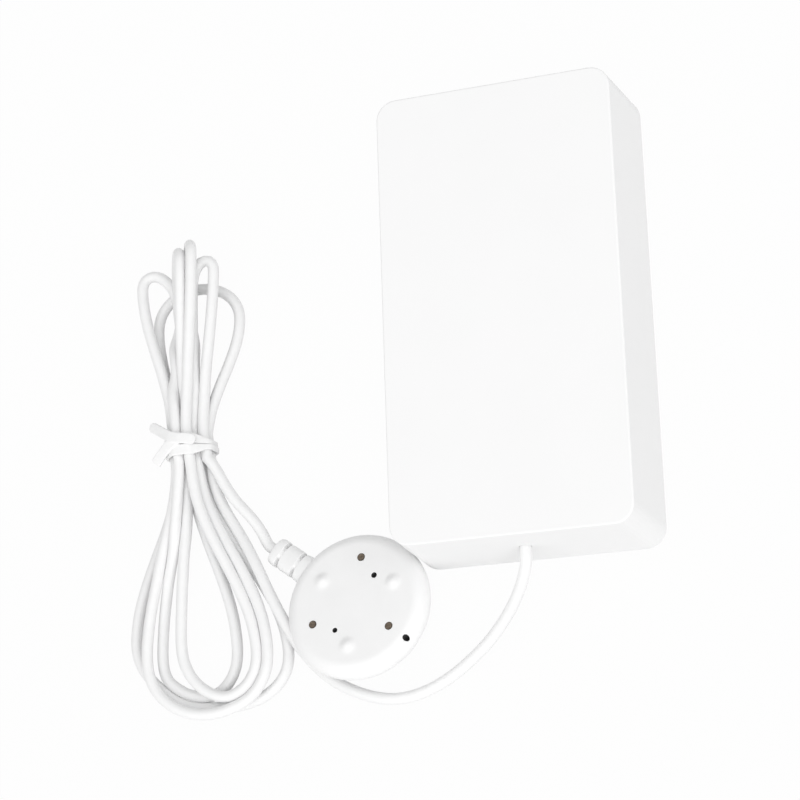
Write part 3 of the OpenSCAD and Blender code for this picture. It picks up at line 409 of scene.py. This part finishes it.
# %% Soft PVC
PVC_IOR = 1.53
JACKET_GRAIN_MM = 0.3
JACKET_VARIES = 0.05


def soft_pvc(name, hex_colour, tone_hex, roughness, wave_mm, depth_mm):
    material, tree, out, place = finish(name)
    slow = grain(tree, place, wave_mm).outputs["Fac"]
    fine = grain(tree, place, JACKET_GRAIN_MM).outputs["Fac"]
    height = add(tree, "ShaderNodeMath", {0: slow, 1: fine}, operation="ADD").outputs["Value"]
    coat(tree, out, {
        "Base Color": two_colours(tree, spread(tree, slow, 0, 1), linear(hex_colour), linear(tone_hex)),
        "Roughness": spread(tree, fine, roughness - JACKET_VARIES, roughness + JACKET_VARIES),
        "IOR": PVC_IOR}, height, depth_mm)
    return material


# Extruded white jacket: a soft sheen along the strands.
cable_pvc = soft_pvc("soft_pvc_white_extruded", "#f6f6f6", "#f4f4f4", 0.38, 2.2, 0.012)
# The tie's strip is duller, so it reads as a separate band.
tie_pvc = soft_pvc("soft_pvc_white_strip", "#f8f8f8", "#f5f5f5", 0.55, 0.9, 0.02)
# The cores' jackets are hard, bright and shiny.
core_red = soft_pvc("pvc_red_core", "#b8322d", "#a92c28", 0.3, 1.5, 0.006)
print("soft plastics:", cable_pvc.name, tie_pvc.name, core_red.name)

# %% [markdown]
# ### Metals
# Zinc, nickel, tin and brass each keep a tint of their own and mirror the room softly. A plain metal would
# look too clean, so fine grain breaks the reflection, and a slower pattern lets the tone drift.

# %% Plated metals
PLATED_VARIES = 0.08


def plated(name, hex_colour, tone_hex, roughness, grain_mm, depth_mm, tone_mm=2.5):
    material, tree, out, place = finish(name)
    grit = grain(tree, place, grain_mm, 4).outputs["Fac"]
    drift = spread(tree, grain(tree, place, tone_mm).outputs["Fac"], 0, 1)
    coat(tree, out, {
        "Base Color": two_colours(tree, drift, linear(hex_colour), linear(tone_hex)),
        "Roughness": spread(tree, grit, roughness - PLATED_VARIES, roughness + PLATED_VARIES),
        "Metallic": 1.0}, grit, depth_mm)
    return material


# Zinc-plated steel screws: cool grey with a faint blue drift.
screw_zinc = plated("steel_zinc_plated", "#b9bec4", "#a9afb8", 0.32, 0.15, 0.006)
# Nickel on the spring contacts and plates: brighter and warmer than zinc.
contact_nickel = plated("steel_nickel_plated", "#cfccc4", "#c1beb6", 0.24, 0.2, 0.004)
# The shield and the cans of the crystal and the capacitor are tinned: soft white metal.
can_tin = plated("steel_tinned", "#c9ccce", "#b8bcbf", 0.34, 0.3, 0.006)
# The antenna is a tinned brass wire: pale gold.
antenna_brass = plated("brass_drawn", "#cdb078", "#bd9f66", 0.28, 0.2, 0.004)
# The probe's contacts are brass that has gone dull: brown-grey in the photograph.
probe_brass = plated("brass_dulled", "#8f8274", "#6f6458", 0.42, 0.12, 0.01, 0.5)
print("metals:", screw_zinc.name, contact_nickel.name, can_tin.name, antenna_brass.name, probe_brass.name)

# %% [markdown]
# ### The cells' sleeves
# A cell is a nickel-plated can in a shrink sleeve of shiny PVC. The sleeve could be a piece of its own, but
# it is about as thin as a hair, so a colour ramp along the cell switches from bare can to sleeve and back.

# %% Sleeve of a cell
# Along the cell, as shares of its length: the bare foot ends, a pale band, and the bare top starts
FOOT_END, BAND_FROM, BAND_TO, TOP_FROM = 0.012, 0.72, 0.75, 0.968
CAN_HEX, SLEEVE_HEX, BAND_HEX, SLEEVE_TOP_HEX = "#c9c6be", "#34679c", "#d8dade", "#2c5883"


def stepped(tree, share, first, *steps):
    """One colour from the start, and then a new one from each step's share on."""
    made = add(tree, "ShaderNodeValToRGB", {"Fac": share})
    made.color_ramp.interpolation = "CONSTANT"
    stops = made.color_ramp.elements
    stops[0].color = first
    stops[1].position, stops[1].color = steps[0]
    for position, colour in steps[1:]:
        stops.new(position).color = colour
    return made.outputs["Color"]


def shrink_sleeve(name, foot_y, tip_y):
    material, tree, out, place = finish(name)
    along = add(tree, "ShaderNodeSeparateXYZ", {"Vector": place}).outputs["Y"]
    share = add(tree, "ShaderNodeMapRange", {
        "Value": along, "From Min": foot_y * MM, "From Max": tip_y * MM}).outputs["Result"]
    colour = stepped(tree, share, linear(CAN_HEX), (FOOT_END, linear(SLEEVE_HEX)),
                     (BAND_FROM, linear(BAND_HEX)), (BAND_TO, linear(SLEEVE_TOP_HEX)),
                     (TOP_FROM, linear(CAN_HEX)))
    metal = stepped(tree, share, linear("#ffffff"), (FOOT_END, linear("#000000")),
                    (TOP_FROM, linear("#ffffff")))
    shrink = grain(tree, place, 1.2).outputs["Fac"]
    coat(tree, out, {"Base Color": colour, "Metallic": metal, "Roughness": spread(tree, shrink, 0.18, 0.28),
                     "IOR": PVC_IOR}, shrink, 0.01)
    return material


# Two cells point one way and the middle one points the other way.
sleeve_up = shrink_sleeve("pvc_shrink_sleeve_up", -27, 23.5)
sleeve_down = shrink_sleeve("pvc_shrink_sleeve_down", 19, -31.5)
print("sleeves:", sleeve_up.name, sleeve_down.name)

# %% [markdown]
# ### The circuit boards and the lamp
# A circuit board is glass cloth in epoxy under green solder mask, which stands a little higher over the
# copper tracks. A brick pattern bent by slow noise gives such rows without a drawn layout. The status lamp
# is clear epoxy with a green cast, and the smallest parts are fired ceramic.

# %% Circuit board and lamp
EPOXY_IOR = 1.55
# The tracks wander by WANDER_MM, and the mask stands MASK_DEPTH_MM higher over them
WANDER_GRAIN_MM, WANDER_MM = 9, 1.5
CLOTH_MM = 0.4
MASK_DEPTH_MM = 0.03
ROW_HEIGHT = 0.5


def solder_mask(name, hex_colour, track_hex, row_mm):
    material, tree, out, place = finish(name)
    wander = grain(tree, place, WANDER_GRAIN_MM).outputs["Color"]
    bent = add(tree, "ShaderNodeVectorMath", {0: wander, 1: (WANDER_MM * MM,) * 3, 2: place},
               operation="MULTIPLY_ADD").outputs["Vector"]
    tracks = add(tree, "ShaderNodeTexBrick", {
        "Vector": bent, "Scale": ROW_HEIGHT / (row_mm * MM), "Row Height": ROW_HEIGHT,
        "Mortar Size": 0.06, "Brick Width": 1.3}).outputs["Fac"]
    cloth = grain(tree, place, CLOTH_MM).outputs["Fac"]
    height = add(tree, "ShaderNodeMath", {0: tracks, 1: cloth}, operation="ADD").outputs["Value"]
    coat(tree, out, {
        "Base Color": two_colours(tree, tracks, linear(hex_colour), linear(track_hex)),
        "Roughness": spread(tree, cloth, 0.22, 0.34), "IOR": EPOXY_IOR}, height, MASK_DEPTH_MM)
    return material


# Green mask over rows of tracks 1.6 mm apart, which show as paler lines.
board_mask = solder_mask("fr4_green_solder_mask", "#2c6a45", "#3f8257", 1.6)
# The radio module is a finer board, with a darker mask and rows 1 mm apart.
radio_mask = solder_mask("fr4_dark_solder_mask", "#22503a", "#2f6549", 1)


def clear_epoxy(name, hex_colour, cloud_hex):
    material, tree, out, place = finish(name)
    cloud = grain(tree, place, 0.6).outputs["Fac"]
    coat(tree, out, {
        "Base Color": two_colours(tree, spread(tree, cloud, 0, 1), linear(hex_colour), linear(cloud_hex)),
        "Roughness": spread(tree, cloud, 0.06, 0.16), "IOR": 1.5, "Transmission Weight": 0.6})
    return material


# Clear epoxy lets part of the light through and is a little cloudy.
lamp_epoxy = clear_epoxy("epoxy_clear_lamp", "#dfeac6", "#f2f7e6")
# The small parts' bodies are sintered ceramic: dull tan with a sandy grain.
part_ceramic = moulded("ceramic_tan_sintered", "#9a8468", "#7f6b52", 0.6, 0.2, 0.01, 1.6, 1.5)
print("board:", board_mask.name, radio_mask.name, lamp_epoxy.name)

# %% [markdown]
# ## The case and what is in it
# The CAD solids of the case, the cover and the inner parts already have the right shapes, so they stay and
# only take a finish. A finish is given to a CAD object by putting it into each of its material slots.

# %% Finish the CAD pieces
finishes = {
    case_abs: ["front_housing"], cover_abs: ["rear_cover"], door_abs: ["battery_door"],
    button_abs: ["test_button"], screw_zinc: ["cover_screws", "board_screws", "clamp_screws"],
    sleeve_up: ["battery_cell_1", "battery_cell_3"], sleeve_down: ["battery_cell_2"],
    contact_nickel: ["battery_springs", "contact_plates"], board_mask: ["main_board", "probe_board"],
    radio_mask: ["radio_module"], chip_epoxy: ["board_chips"], part_ceramic: ["board_passives"],
    can_tin: ["crystal", "radio_shield", "capacitor"], antenna_brass: ["antenna"],
    lamp_epoxy: ["status_led"], sounder_pbt: ["sounder", "test_switch"], stem_acetal: ["switch_stem"],
    header_nylon: ["cable_header", "cable_plug", "cable_clamp"], cable_pvc: ["lead_tail", "probe_tail"],
    core_red: ["lead_cores", "probe_cores"], probe_brass: ["probe_contacts"]}
for material, names in finishes.items():
    for name in names:
        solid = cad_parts[name]
        if not solid.material_slots:
            solid.data.materials.append(material)
        for slot in solid.material_slots:
            slot.material = material
print("CAD pieces with a finish:", sum(len(names) for names in finishes.values()))

# %% [markdown]
# ## The probe
# The probe is a thick disc with a round rim. Its face carries three brass contacts, three small feet and
# three fine holes, and its underside is a shallow dome, so the disc lies tilted. Its place and its sizes come
# first: the dome touches the table, which gives the height of the disc's middle.

# %% Place and outline of the probe
PROBE_AT = Vector((-43.8, -63.8, 0)) * MM
PROBE_D = 36
RIM_T = 6.6
DOME_H = 2.35
PROBE_TILT = math.radians(10.8)
LEAN_DIR = math.radians(102.2)
RELIEF_DIR = math.radians(143.3)
EDGE_R = RIM_T / 2
FACE_R = PROBE_D / 2 - EDGE_R
DOME_R = (FACE_R**2 + DOME_H**2) / (2 * DOME_H)
DOME_Z = DOME_R - EDGE_R - DOME_H
PROBE_Z = (DOME_R - DOME_Z * math.cos(PROBE_TILT)) * MM
probe_place = (Matrix.Translation(PROBE_AT + Vector((0, 0, PROBE_Z)))
               @ Matrix.Rotation(LEAN_DIR, 4, "Z") @ Matrix.Rotation(PROBE_TILT, 4, "Y")
               @ Matrix.Rotation(RELIEF_DIR - LEAN_DIR, 4, "Z"))


def on_face(direction, radius):
    """A point of the face, in the probe's own millimetres, by its compass direction in degrees."""
    turn = math.radians(direction) - RELIEF_DIR
    return Vector((radius * math.cos(turn), radius * math.sin(turn), EDGE_R))


FEET = [on_face(a, 10.6) for a in (23.3, 143.3, 263.3)]
FOOT_R = 2.4
FOOT_H = 0.8
print("probe's middle is", round(PROBE_Z / MM, 2), "mm over the table")

# %% [markdown]
# ### The disc
# The outline is turned about the upright axis in close rings. A Screw modifier could turn it too, but the
# feet need the finished points at once: each foot is a smooth rise of the points that are nearest to it.

# %% Lathe the disc
LATHE_SIDES = 144
FACE_RINGS = 44
RIM_RINGS = 20
DOME_RINGS = 14
NEAR_FACE = 0.001


def new_piece(name, mesh_maker, material, smooth=True):
    mesh = bpy.data.meshes.new(name)
    mesh_maker.to_mesh(mesh)
    mesh_maker.free()
    mesh.materials.append(material)
    mesh.polygons.foreach_set("use_smooth", [smooth] * len(mesh.polygons))
    piece = bpy.data.objects.new(name, mesh)
    bpy.context.scene.collection.objects.link(piece)
    return piece


def probe_outline():
    """Radius and height, in millimetres, from the face's middle over the rim to the dome's middle."""
    dome_half = math.asin(FACE_R / DOME_R)
    points = [(FACE_R * i / FACE_RINGS, EDGE_R) for i in range(1, FACE_RINGS)]
    points += [(FACE_R + EDGE_R * math.cos(a), EDGE_R * math.sin(a))
               for a in np.linspace(math.pi / 2, -math.pi / 2, RIM_RINGS)]
    points += [(DOME_R * math.sin(a), DOME_Z - DOME_R * math.cos(a))
               for a in np.linspace(dome_half, 0, DOME_RINGS)[1:-1]]
    return points


def lathed(maker, outline, sides, top, bottom):
    """The outline turned about the upright axis, closed by a point at the top and at the bottom."""
    rings = [[maker.verts.new((r * math.cos(a), r * math.sin(a), z))
              for a in np.linspace(0, 2 * math.pi, sides, endpoint=False)] for r, z in outline]
    first, last = maker.verts.new((0, 0, top)), maker.verts.new((0, 0, bottom))
    for k in range(sides):
        n = (k + 1) % sides
        maker.faces.new((first, rings[0][k], rings[0][n]))
        maker.faces.new((last, rings[-1][n], rings[-1][k]))
        for upper, lower in zip(rings, rings[1:]):
            maker.faces.new((upper[k], lower[k], lower[n], upper[n]))


disc = bmesh.new()
lathed(disc, probe_outline(), LATHE_SIDES, EDGE_R, DOME_Z - DOME_R)
for vert in disc.verts:
    if vert.co.z > EDGE_R - NEAR_FACE:
        for foot in FEET:
            away = (vert.co - foot).length
            if away < FOOT_R:
                vert.co.z += FOOT_H * (math.cos(math.pi * away / FOOT_R) + 1) / 2
bmesh.ops.transform(disc, matrix=Matrix.Scale(MM, 4), verts=disc.verts)
probe_shell = new_piece("probe_shell", disc, probe_abs)
print("faces of the probe's shell:", len(probe_shell.data.polygons))

# %% [markdown]
# ### Holes in the probe's face
# The holes could be drawn into the lathe's grid, but their places don't follow it. So they are cut with a
# Boolean modifier by one cutter with a pin for each hole, and their new walls get a nearly black painted
# shade. The contacts' holes are a hair wider than the contacts, which leaves the thin dark line round each
# of them: a real gap, made dark by that painted shade.

# %% Cut the holes
CUTTER_SIDES = 32
# Each hole: its direction on the face in degrees, its distance from the middle, its radius and its depth
HOLES = [(83.3, 11.34, 0.97, 2.8), (203.3, 11.34, 0.97, 2.8), (323.3, 11.34, 0.97, 2.8),
         (52.4, 7.96, 0.7, 2.8), (234.8, 7.96, 0.62, 2.8), (323.3, 16.6, 0.75, 3.6)]
pins = bmesh.new()
for direction, radius, hole_r, depth in HOLES:
    place = on_face(direction, radius)
    bmesh.ops.create_cone(pins, cap_ends=True, segments=CUTTER_SIDES, radius1=hole_r * MM,
                          radius2=hole_r * MM, depth=2 * depth * MM, matrix=Matrix.Translation(place * MM))


def cut(piece, cutter, name, painted_wall_shade):
    """The piece's mesh without the cutter, and the new walls coloured with the given painted shade."""
    cutter_piece = new_piece(name, cutter, painted_wall_shade)
    cutter_piece.matrix_world = piece.matrix_world
    cutting = piece.modifiers.new("cut", "BOOLEAN")
    cutting.object, cutting.solver, cutting.material_mode = cutter_piece, "EXACT", "TRANSFER"
    bpy.context.view_layer.update()
    graph = bpy.context.evaluated_depsgraph_get()
    mesh = bpy.data.meshes.new_from_object(piece.evaluated_get(graph))
    piece.modifiers.clear()
    piece.data = mesh
    bpy.data.objects.remove(cutter_piece)


# The holes' walls take the nearly black painted shade
cut(probe_shell, pins, "hole_cutter", bore_painted_shade)
# The tilt goes into the mesh itself, so that the piece's box stays tight
probe_shell.data.transform(probe_place)
print("faces with holes:", len(probe_shell.data.polygons))

# %% [markdown]
# ## The strain relief
# Where the cable leaves the probe, a flat sleeve of the same plastic has two pairs of slots, so that it
# bends with the cable and doesn't break it. It is lofted: oval sections along its axis, with a narrow
# core at each slot. Sections that lie close together keep the slots' edges crisp under the subdivision.

# %% Loft the strain relief
SECTION_SIDES = 24
# Along the axis from the probe's middle, half the width, and half the thickness
RELIEF_SECTIONS = [
    (13.6, 7.6, 2.1), (14.8, 6.2, 2.2), (15.8, 5, 2.25), (16.8, 4.1, 2.25), (17.8, 3.72, 2.25),
    (18.9, 3.6, 2.25), (19.5, 3.55, 2.25), (19.6, 3.4, 2.25), (19.62, 1.3, 2.2), (20.58, 1.3, 2.2),
    (20.6, 3.4, 2.25), (20.7, 3.55, 2.25), (22.7, 3.55, 2.25), (24.7, 3.55, 2.25), (24.8, 3.4, 2.25),
    (24.82, 1.3, 2.2), (25.78, 1.3, 2.2), (25.8, 3.4, 2.25), (25.9, 3.6, 2.25), (27.2, 3.6, 2.25),
    (28.1, 3.45, 2.15), (28.28, 3.1, 1.95), (28.3, 2.6, 1.7)]
SQUARENESS = 2.6


def lofted(maker, sections, sides, squareness):
    """Rounded oblong sections along X, joined side by side and closed at both ends."""
    rings = []
    for x, half_w, half_t in sections:
        ring = []
        for a in np.linspace(0, 2 * math.pi, sides, endpoint=False):
            c, s = math.cos(a), math.sin(a)
            y = half_w * math.copysign(abs(c) ** (2 / squareness), c)
            z = half_t * math.copysign(abs(s) ** (2 / squareness), s)
            ring.append(maker.verts.new((x * MM, y * MM, z * MM)))
        rings.append(ring)
    for one, two in zip(rings, rings[1:]):
        for k in range(sides):
            n = (k + 1) % sides
            maker.faces.new((one[k], one[n], two[n], two[k]))
    maker.faces.new(rings[0][::-1])
    maker.faces.new(rings[-1])
    bmesh.ops.recalc_face_normals(maker, faces=maker.faces)


relief = bmesh.new()
lofted(relief, RELIEF_SECTIONS, SECTION_SIDES, SQUARENESS)
strain_relief = new_piece("strain_relief", relief, probe_abs)
strain_relief.data.transform(probe_place)
soften = strain_relief.modifiers.new("soften", "SUBSURF")
soften.levels = soften.render_levels = 2
print("sections of the strain relief:", len(RELIEF_SECTIONS))

# %% [markdown]
# ## The tie
# A flat strip goes twice round the hank's waist. Its two ends are twisted once on top and stand off to the
# left: one is rounded, the other is cut. A strip could be a curve with a flat bevel, but a curve twists
# where it likes. So the strip is swept by hand: each point of its way has an arrow for its width. The
# arrow's length is the share of the full width there, because the strip is pinched where it turns.

# %% Sweep a strip
STRIP_W = 2.7 * MM
STRIP_T = 0.8 * MM
STRIP_SIDES = 16
FLATNESS = 0.35


def strip(name, way, widths, closed):
    """A flat strip along the way. A closed one runs back into its own start."""
    maker = bmesh.new()
    rings = []
    for i in range(len(way)):
        if closed:
            before, after = way[i - 1], way[(i + 1) % len(way)]
        else:
            before, after = way[max(i - 1, 0)], way[min(i + 1, len(way) - 1)]
        along = (after - before) / np.linalg.norm(after - before)
        wide = widths[i] - along * np.dot(widths[i], along)
        share = np.linalg.norm(wide)
        up = np.cross(along, wide / share)
        rings.append([maker.verts.new(
            way[i] + wide * STRIP_W / 2 * math.copysign(abs(math.cos(a)) ** FLATNESS, math.cos(a))
            + up * STRIP_T / 2 * math.copysign(abs(math.sin(a)) ** FLATNESS, math.sin(a)))
            for a in np.linspace(0, 2 * math.pi, STRIP_SIDES, endpoint=False) + math.pi / STRIP_SIDES])
    pairs = list(zip(rings, rings[1:])) + ([(rings[-1], rings[0])] if closed else [])
    for one, two in pairs:
        for k in range(STRIP_SIDES):
            n = (k + 1) % STRIP_SIDES
            maker.faces.new((one[k], one[n], two[n], two[k]))
    if not closed:
        maker.faces.new(rings[0][::-1])
        maker.faces.new(rings[-1])
    bmesh.ops.recalc_face_normals(maker, faces=maker.faces)
    piece = new_piece(name, maker, tie_pvc)
    even = piece.modifiers.new("even", "SUBSURF")
    even.levels = even.render_levels = 1
    return piece


# %% [markdown]
# ### Two turns round the strands
# A strip that is pulled tight follows the outline of the bundle. In each direction the outermost strand
# carries it, so its way is found from the cable itself: for each direction, the strand that lies farthest
# that way, plus its radius and half the strip's thickness.

# %% Pull the strip tight
WRAP_DIRECTIONS = np.linspace(0, 2 * math.pi, 120, endpoint=False)
WRAP_STEP = 0.35 * MM
WRAP_Y = 1.4 * MM
# To the right of the middle the strip narrows by the share PINCH between these two distances
PINCH = 0.5
PINCH_FROM, PINCH_TO = 2.5 * MM, 5.5 * MM


def wrap(name, y):
    """One turn round the waist, y metres from its middle, and the height of its way over the table."""
    outwards = np.column_stack((np.cos(WRAP_DIRECTIONS), np.sin(WRAP_DIRECTIONS)))
    under = (np.abs(cable_line[:, 1] - HANK_AT[1] - y) < STRIP_W / 2) & (cable_line[:, 0] < CORNER[0])
    strands = cable_line[under][:, (0, 2)]
    carried = strands[np.argmax(strands @ outwards.T, axis=0)] + outwards * (CABLE_R + STRIP_T / 2)
    ring = evened(np.column_stack((carried, carried[:, 0]))[np.r_[:len(carried), 0]], WRAP_STEP)[:-1]
    pinch = PINCH * np.clip((ring[:, 0] - HANK_AT[0] - PINCH_FROM) / (PINCH_TO - PINCH_FROM), 0, 1)
    way = np.column_stack((ring[:, 0], HANK_AT[1] + y * (1 - pinch), ring[:, 1]))
    widths = np.column_stack((0 * pinch, 1 - pinch, 0 * pinch))
    return strip(name, way, widths, True), float(ring[:, 1].max())


wrap_upper, tie_top = wrap("tie_wrap_upper", WRAP_Y)
wrap_lower = wrap("tie_wrap_lower", -WRAP_Y)[0]
tie_wraps = [wrap_upper, wrap_lower]
print("top of the tie:", round(tie_top / MM, 2), "mm over the table")

# %% [markdown]
# ### Its two ends
# The ends cross on top of the bundle, turn a little about their own way and droop to the left. They are
# short strips through points over the top of the turns. The round one narrows at its ends.

# %% Twist its ends
TAIL_STEP = 0.3
TAIL_LEAST_SHARE = 0.08
STRAIGHT_UP = np.array((0, 0, 1))


def tail(name, points, turns, round_ends):
    """A short strip through points in millimetres from the hank's middle, that turns about its own way."""
    line = evened(through(np.array(points, dtype=float)), TAIL_STEP)
    count = len(line)
    share = np.ones(count)
    if round_ends:
        to_end = np.minimum(np.arange(count), np.arange(count)[::-1]) * TAIL_STEP / (STRIP_W / MM / 2)
        share = np.sqrt(np.clip(1 - (1 - np.minimum(to_end, 1)) ** 2, TAIL_LEAST_SHARE, 1))
    angles = np.radians(np.interp(np.linspace(0, 1, count), np.linspace(0, 1, len(turns)), turns))[:, None]
    flat = np.cross(STRAIGHT_UP, np.gradient(line, axis=0))
    flat /= np.linalg.norm(flat, axis=1)[:, None]
    widths = share[:, None] * (flat * np.cos(angles) + STRAIGHT_UP * np.sin(angles))
    return strip(name, HANK_AT + line * MM, widths, False)


TOP = tie_top / MM
tie_tails = [
    tail("tie_tail_round", [(3.9, 0.4, TOP + 0.35), (1.5, 1.1, TOP + 0.6), (-1.2, 1.5, TOP + 0.65),
                            (-3.3, 2.2, TOP + 0.3), (-5.3, 3.4, TOP - 0.5), (-7.5, 4.8, TOP - 1.5),
                            (-9.6, 6, TOP - 2.4)], (0, 0, 0, -15, -20, -10), True),
    tail("tie_tail_cut", [(-1, 1.3, TOP + 0.2), (-2.7, 0.5, TOP + 0.3), (-4.5, -0.9, TOP - 0.2),
                          (-6.3, -2.4, TOP - 1), (-8, -3.8, TOP - 2)], (0, 0, 0, -5, -10), False)]
print("ends of the tie:", len(tie_tails))

# %% [markdown]
# ## What moves with what
# Every new piece rides on a body of the CAD model. All of these lie still with the case. The CAD nodes
# that a piece stands for are hidden.

# %% Ride and replace
ROOT = "case"
for piece, nodes, slot_name in (
        [(cable, ("box_lead", "cord_hank", "probe_lead"), "cable_white"),
         (probe_shell, ("probe_body",), "probe_white"), (strain_relief, ("probe_body",), "probe_white")]
        + [(piece, ("cord_tie",), "tie_white") for piece in tie_wraps + tie_tails]):
    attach(piece, ROOT)
    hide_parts(*nodes)
cable.data.materials.append(cable_pvc)

# %% [markdown]
# ## Floor and light
# The detector lies on a pale table in soft light. The light comes from all sides, and it is a little
# stronger from the near right, so the faces that look that way are brighter and the probe's far rim is
# darker. For the camera the table is lifted towards white by Light Path. That changes nothing on the
# object, and the table keeps its shadow.

# %% Table
TABLE_SIZE = 6.0
TABLE_LIFT = 0.965
TABLE_CLOUD_MM = 400
table_maker = bmesh.new()
bmesh.ops.create_grid(table_maker, x_segments=4, y_segments=4, size=TABLE_SIZE / 2)
table_paint, tree, out, place = finish("table_white_lacquer")
cloudy = grain(tree, place, TABLE_CLOUD_MM).outputs["Fac"]
lacquer = add(tree, "ShaderNodeBsdfPrincipled", {
    "Base Color": two_colours(tree, cloudy, linear("#d6d6d6"), linear("#d4d4d4")),
    "Roughness": 0.9, "IOR": 1.45})
white = add(tree, "ShaderNodeEmission", {"Color": (1, 1, 1, 1), "Strength": 1.0})
rays = add(tree, "ShaderNodeLightPath").outputs
seen = rays["Is Camera Ray"]
for kind in ("Is Glossy Ray", "Is Transmission Ray"):
    seen = add(tree, "ShaderNodeMath", {0: seen, 1: rays[kind]}, operation="MAXIMUM").outputs["Value"]
lift = add(tree, "ShaderNodeMath", {0: seen, 1: TABLE_LIFT}, operation="MULTIPLY")
mixed = add(tree, "ShaderNodeMixShader",
            {0: lift.outputs["Value"], 1: lacquer.outputs["BSDF"], 2: white.outputs["Emission"]})
tree.links.new(mixed.outputs["Shader"], out.inputs["Surface"])
table = new_piece("table", table_maker, table_paint, smooth=False)
print("table:", TABLE_SIZE, "m wide")

# %% [markdown]
# ### The room's light
# A studio tent lights from everywhere. It could be many lamps, but one world colour that grows slowly
# towards one side gives the same soft shading with no lamp to see in the plastic. One large lamp over the
# near right adds the faint direction that the feet and the strands need.

# %% Light
ROOM_DARK, ROOM_BRIGHT = 0.2, 1.1
DARK_FROM, BRIGHT_FROM = -0.7, 0.5
ROOM_SIDE = Vector((0.4, -0.68, 0.61)).normalized()
world = bpy.data.worlds.new("studio_tent")
bpy.context.scene.world = world
world.use_nodes = True
tree = world.node_tree
tree.nodes.clear()
outwards = add(tree, "ShaderNodeTexCoord").outputs["Generated"]
towards = add(tree, "ShaderNodeVectorMath", {0: outwards, 1: ROOM_SIDE}, operation="DOT_PRODUCT")
level = add(tree, "ShaderNodeMapRange", {
    "Value": towards.outputs["Value"], "From Min": DARK_FROM, "From Max": BRIGHT_FROM,
    "To Min": ROOM_DARK, "To Max": ROOM_BRIGHT}, interpolation_type="SMOOTHSTEP")
room = add(tree, "ShaderNodeBackground", {"Color": (1, 1, 1, 1), "Strength": level.outputs["Result"]})
backdrop = add(tree, "ShaderNodeBackground", {"Color": (1, 1, 1, 1), "Strength": 1.0})
rays = add(tree, "ShaderNodeLightPath").outputs
room_mix = add(tree, "ShaderNodeMixShader",
               {0: rays["Is Camera Ray"], 1: room.outputs["Background"], 2: backdrop.outputs["Background"]})
add(tree, "ShaderNodeOutputWorld", {"Surface": room_mix.outputs["Shader"]})

LAMP_AT = Vector((0.45, -0.75, 0.95))
LAMP_AIM = Vector((-0.03, -0.02, 0))
LAMP_SIZE = 0.9
LAMP_WATTS = 1.9
lamp = bpy.data.lights.new("lamp_near_right", "AREA")
lamp.shape, lamp.size, lamp.energy = "DISK", LAMP_SIZE, LAMP_WATTS
holder = bpy.data.objects.new("lamp_near_right", lamp)
holder.location = LAMP_AT
holder.rotation_euler = (LAMP_AIM - LAMP_AT).to_track_quat("-Z", "Y").to_euler()
bpy.context.scene.collection.objects.link(holder)
bpy.context.scene.view_settings.view_transform = "Standard"
print("room:", ROOM_DARK, "to", ROOM_BRIGHT, "lamp:", LAMP_WATTS, "W")

# %% [markdown]
# ## End
# The finished model may not outgrow the CAD box.

# %% Update the view layer
bpy.context.view_layer.update()
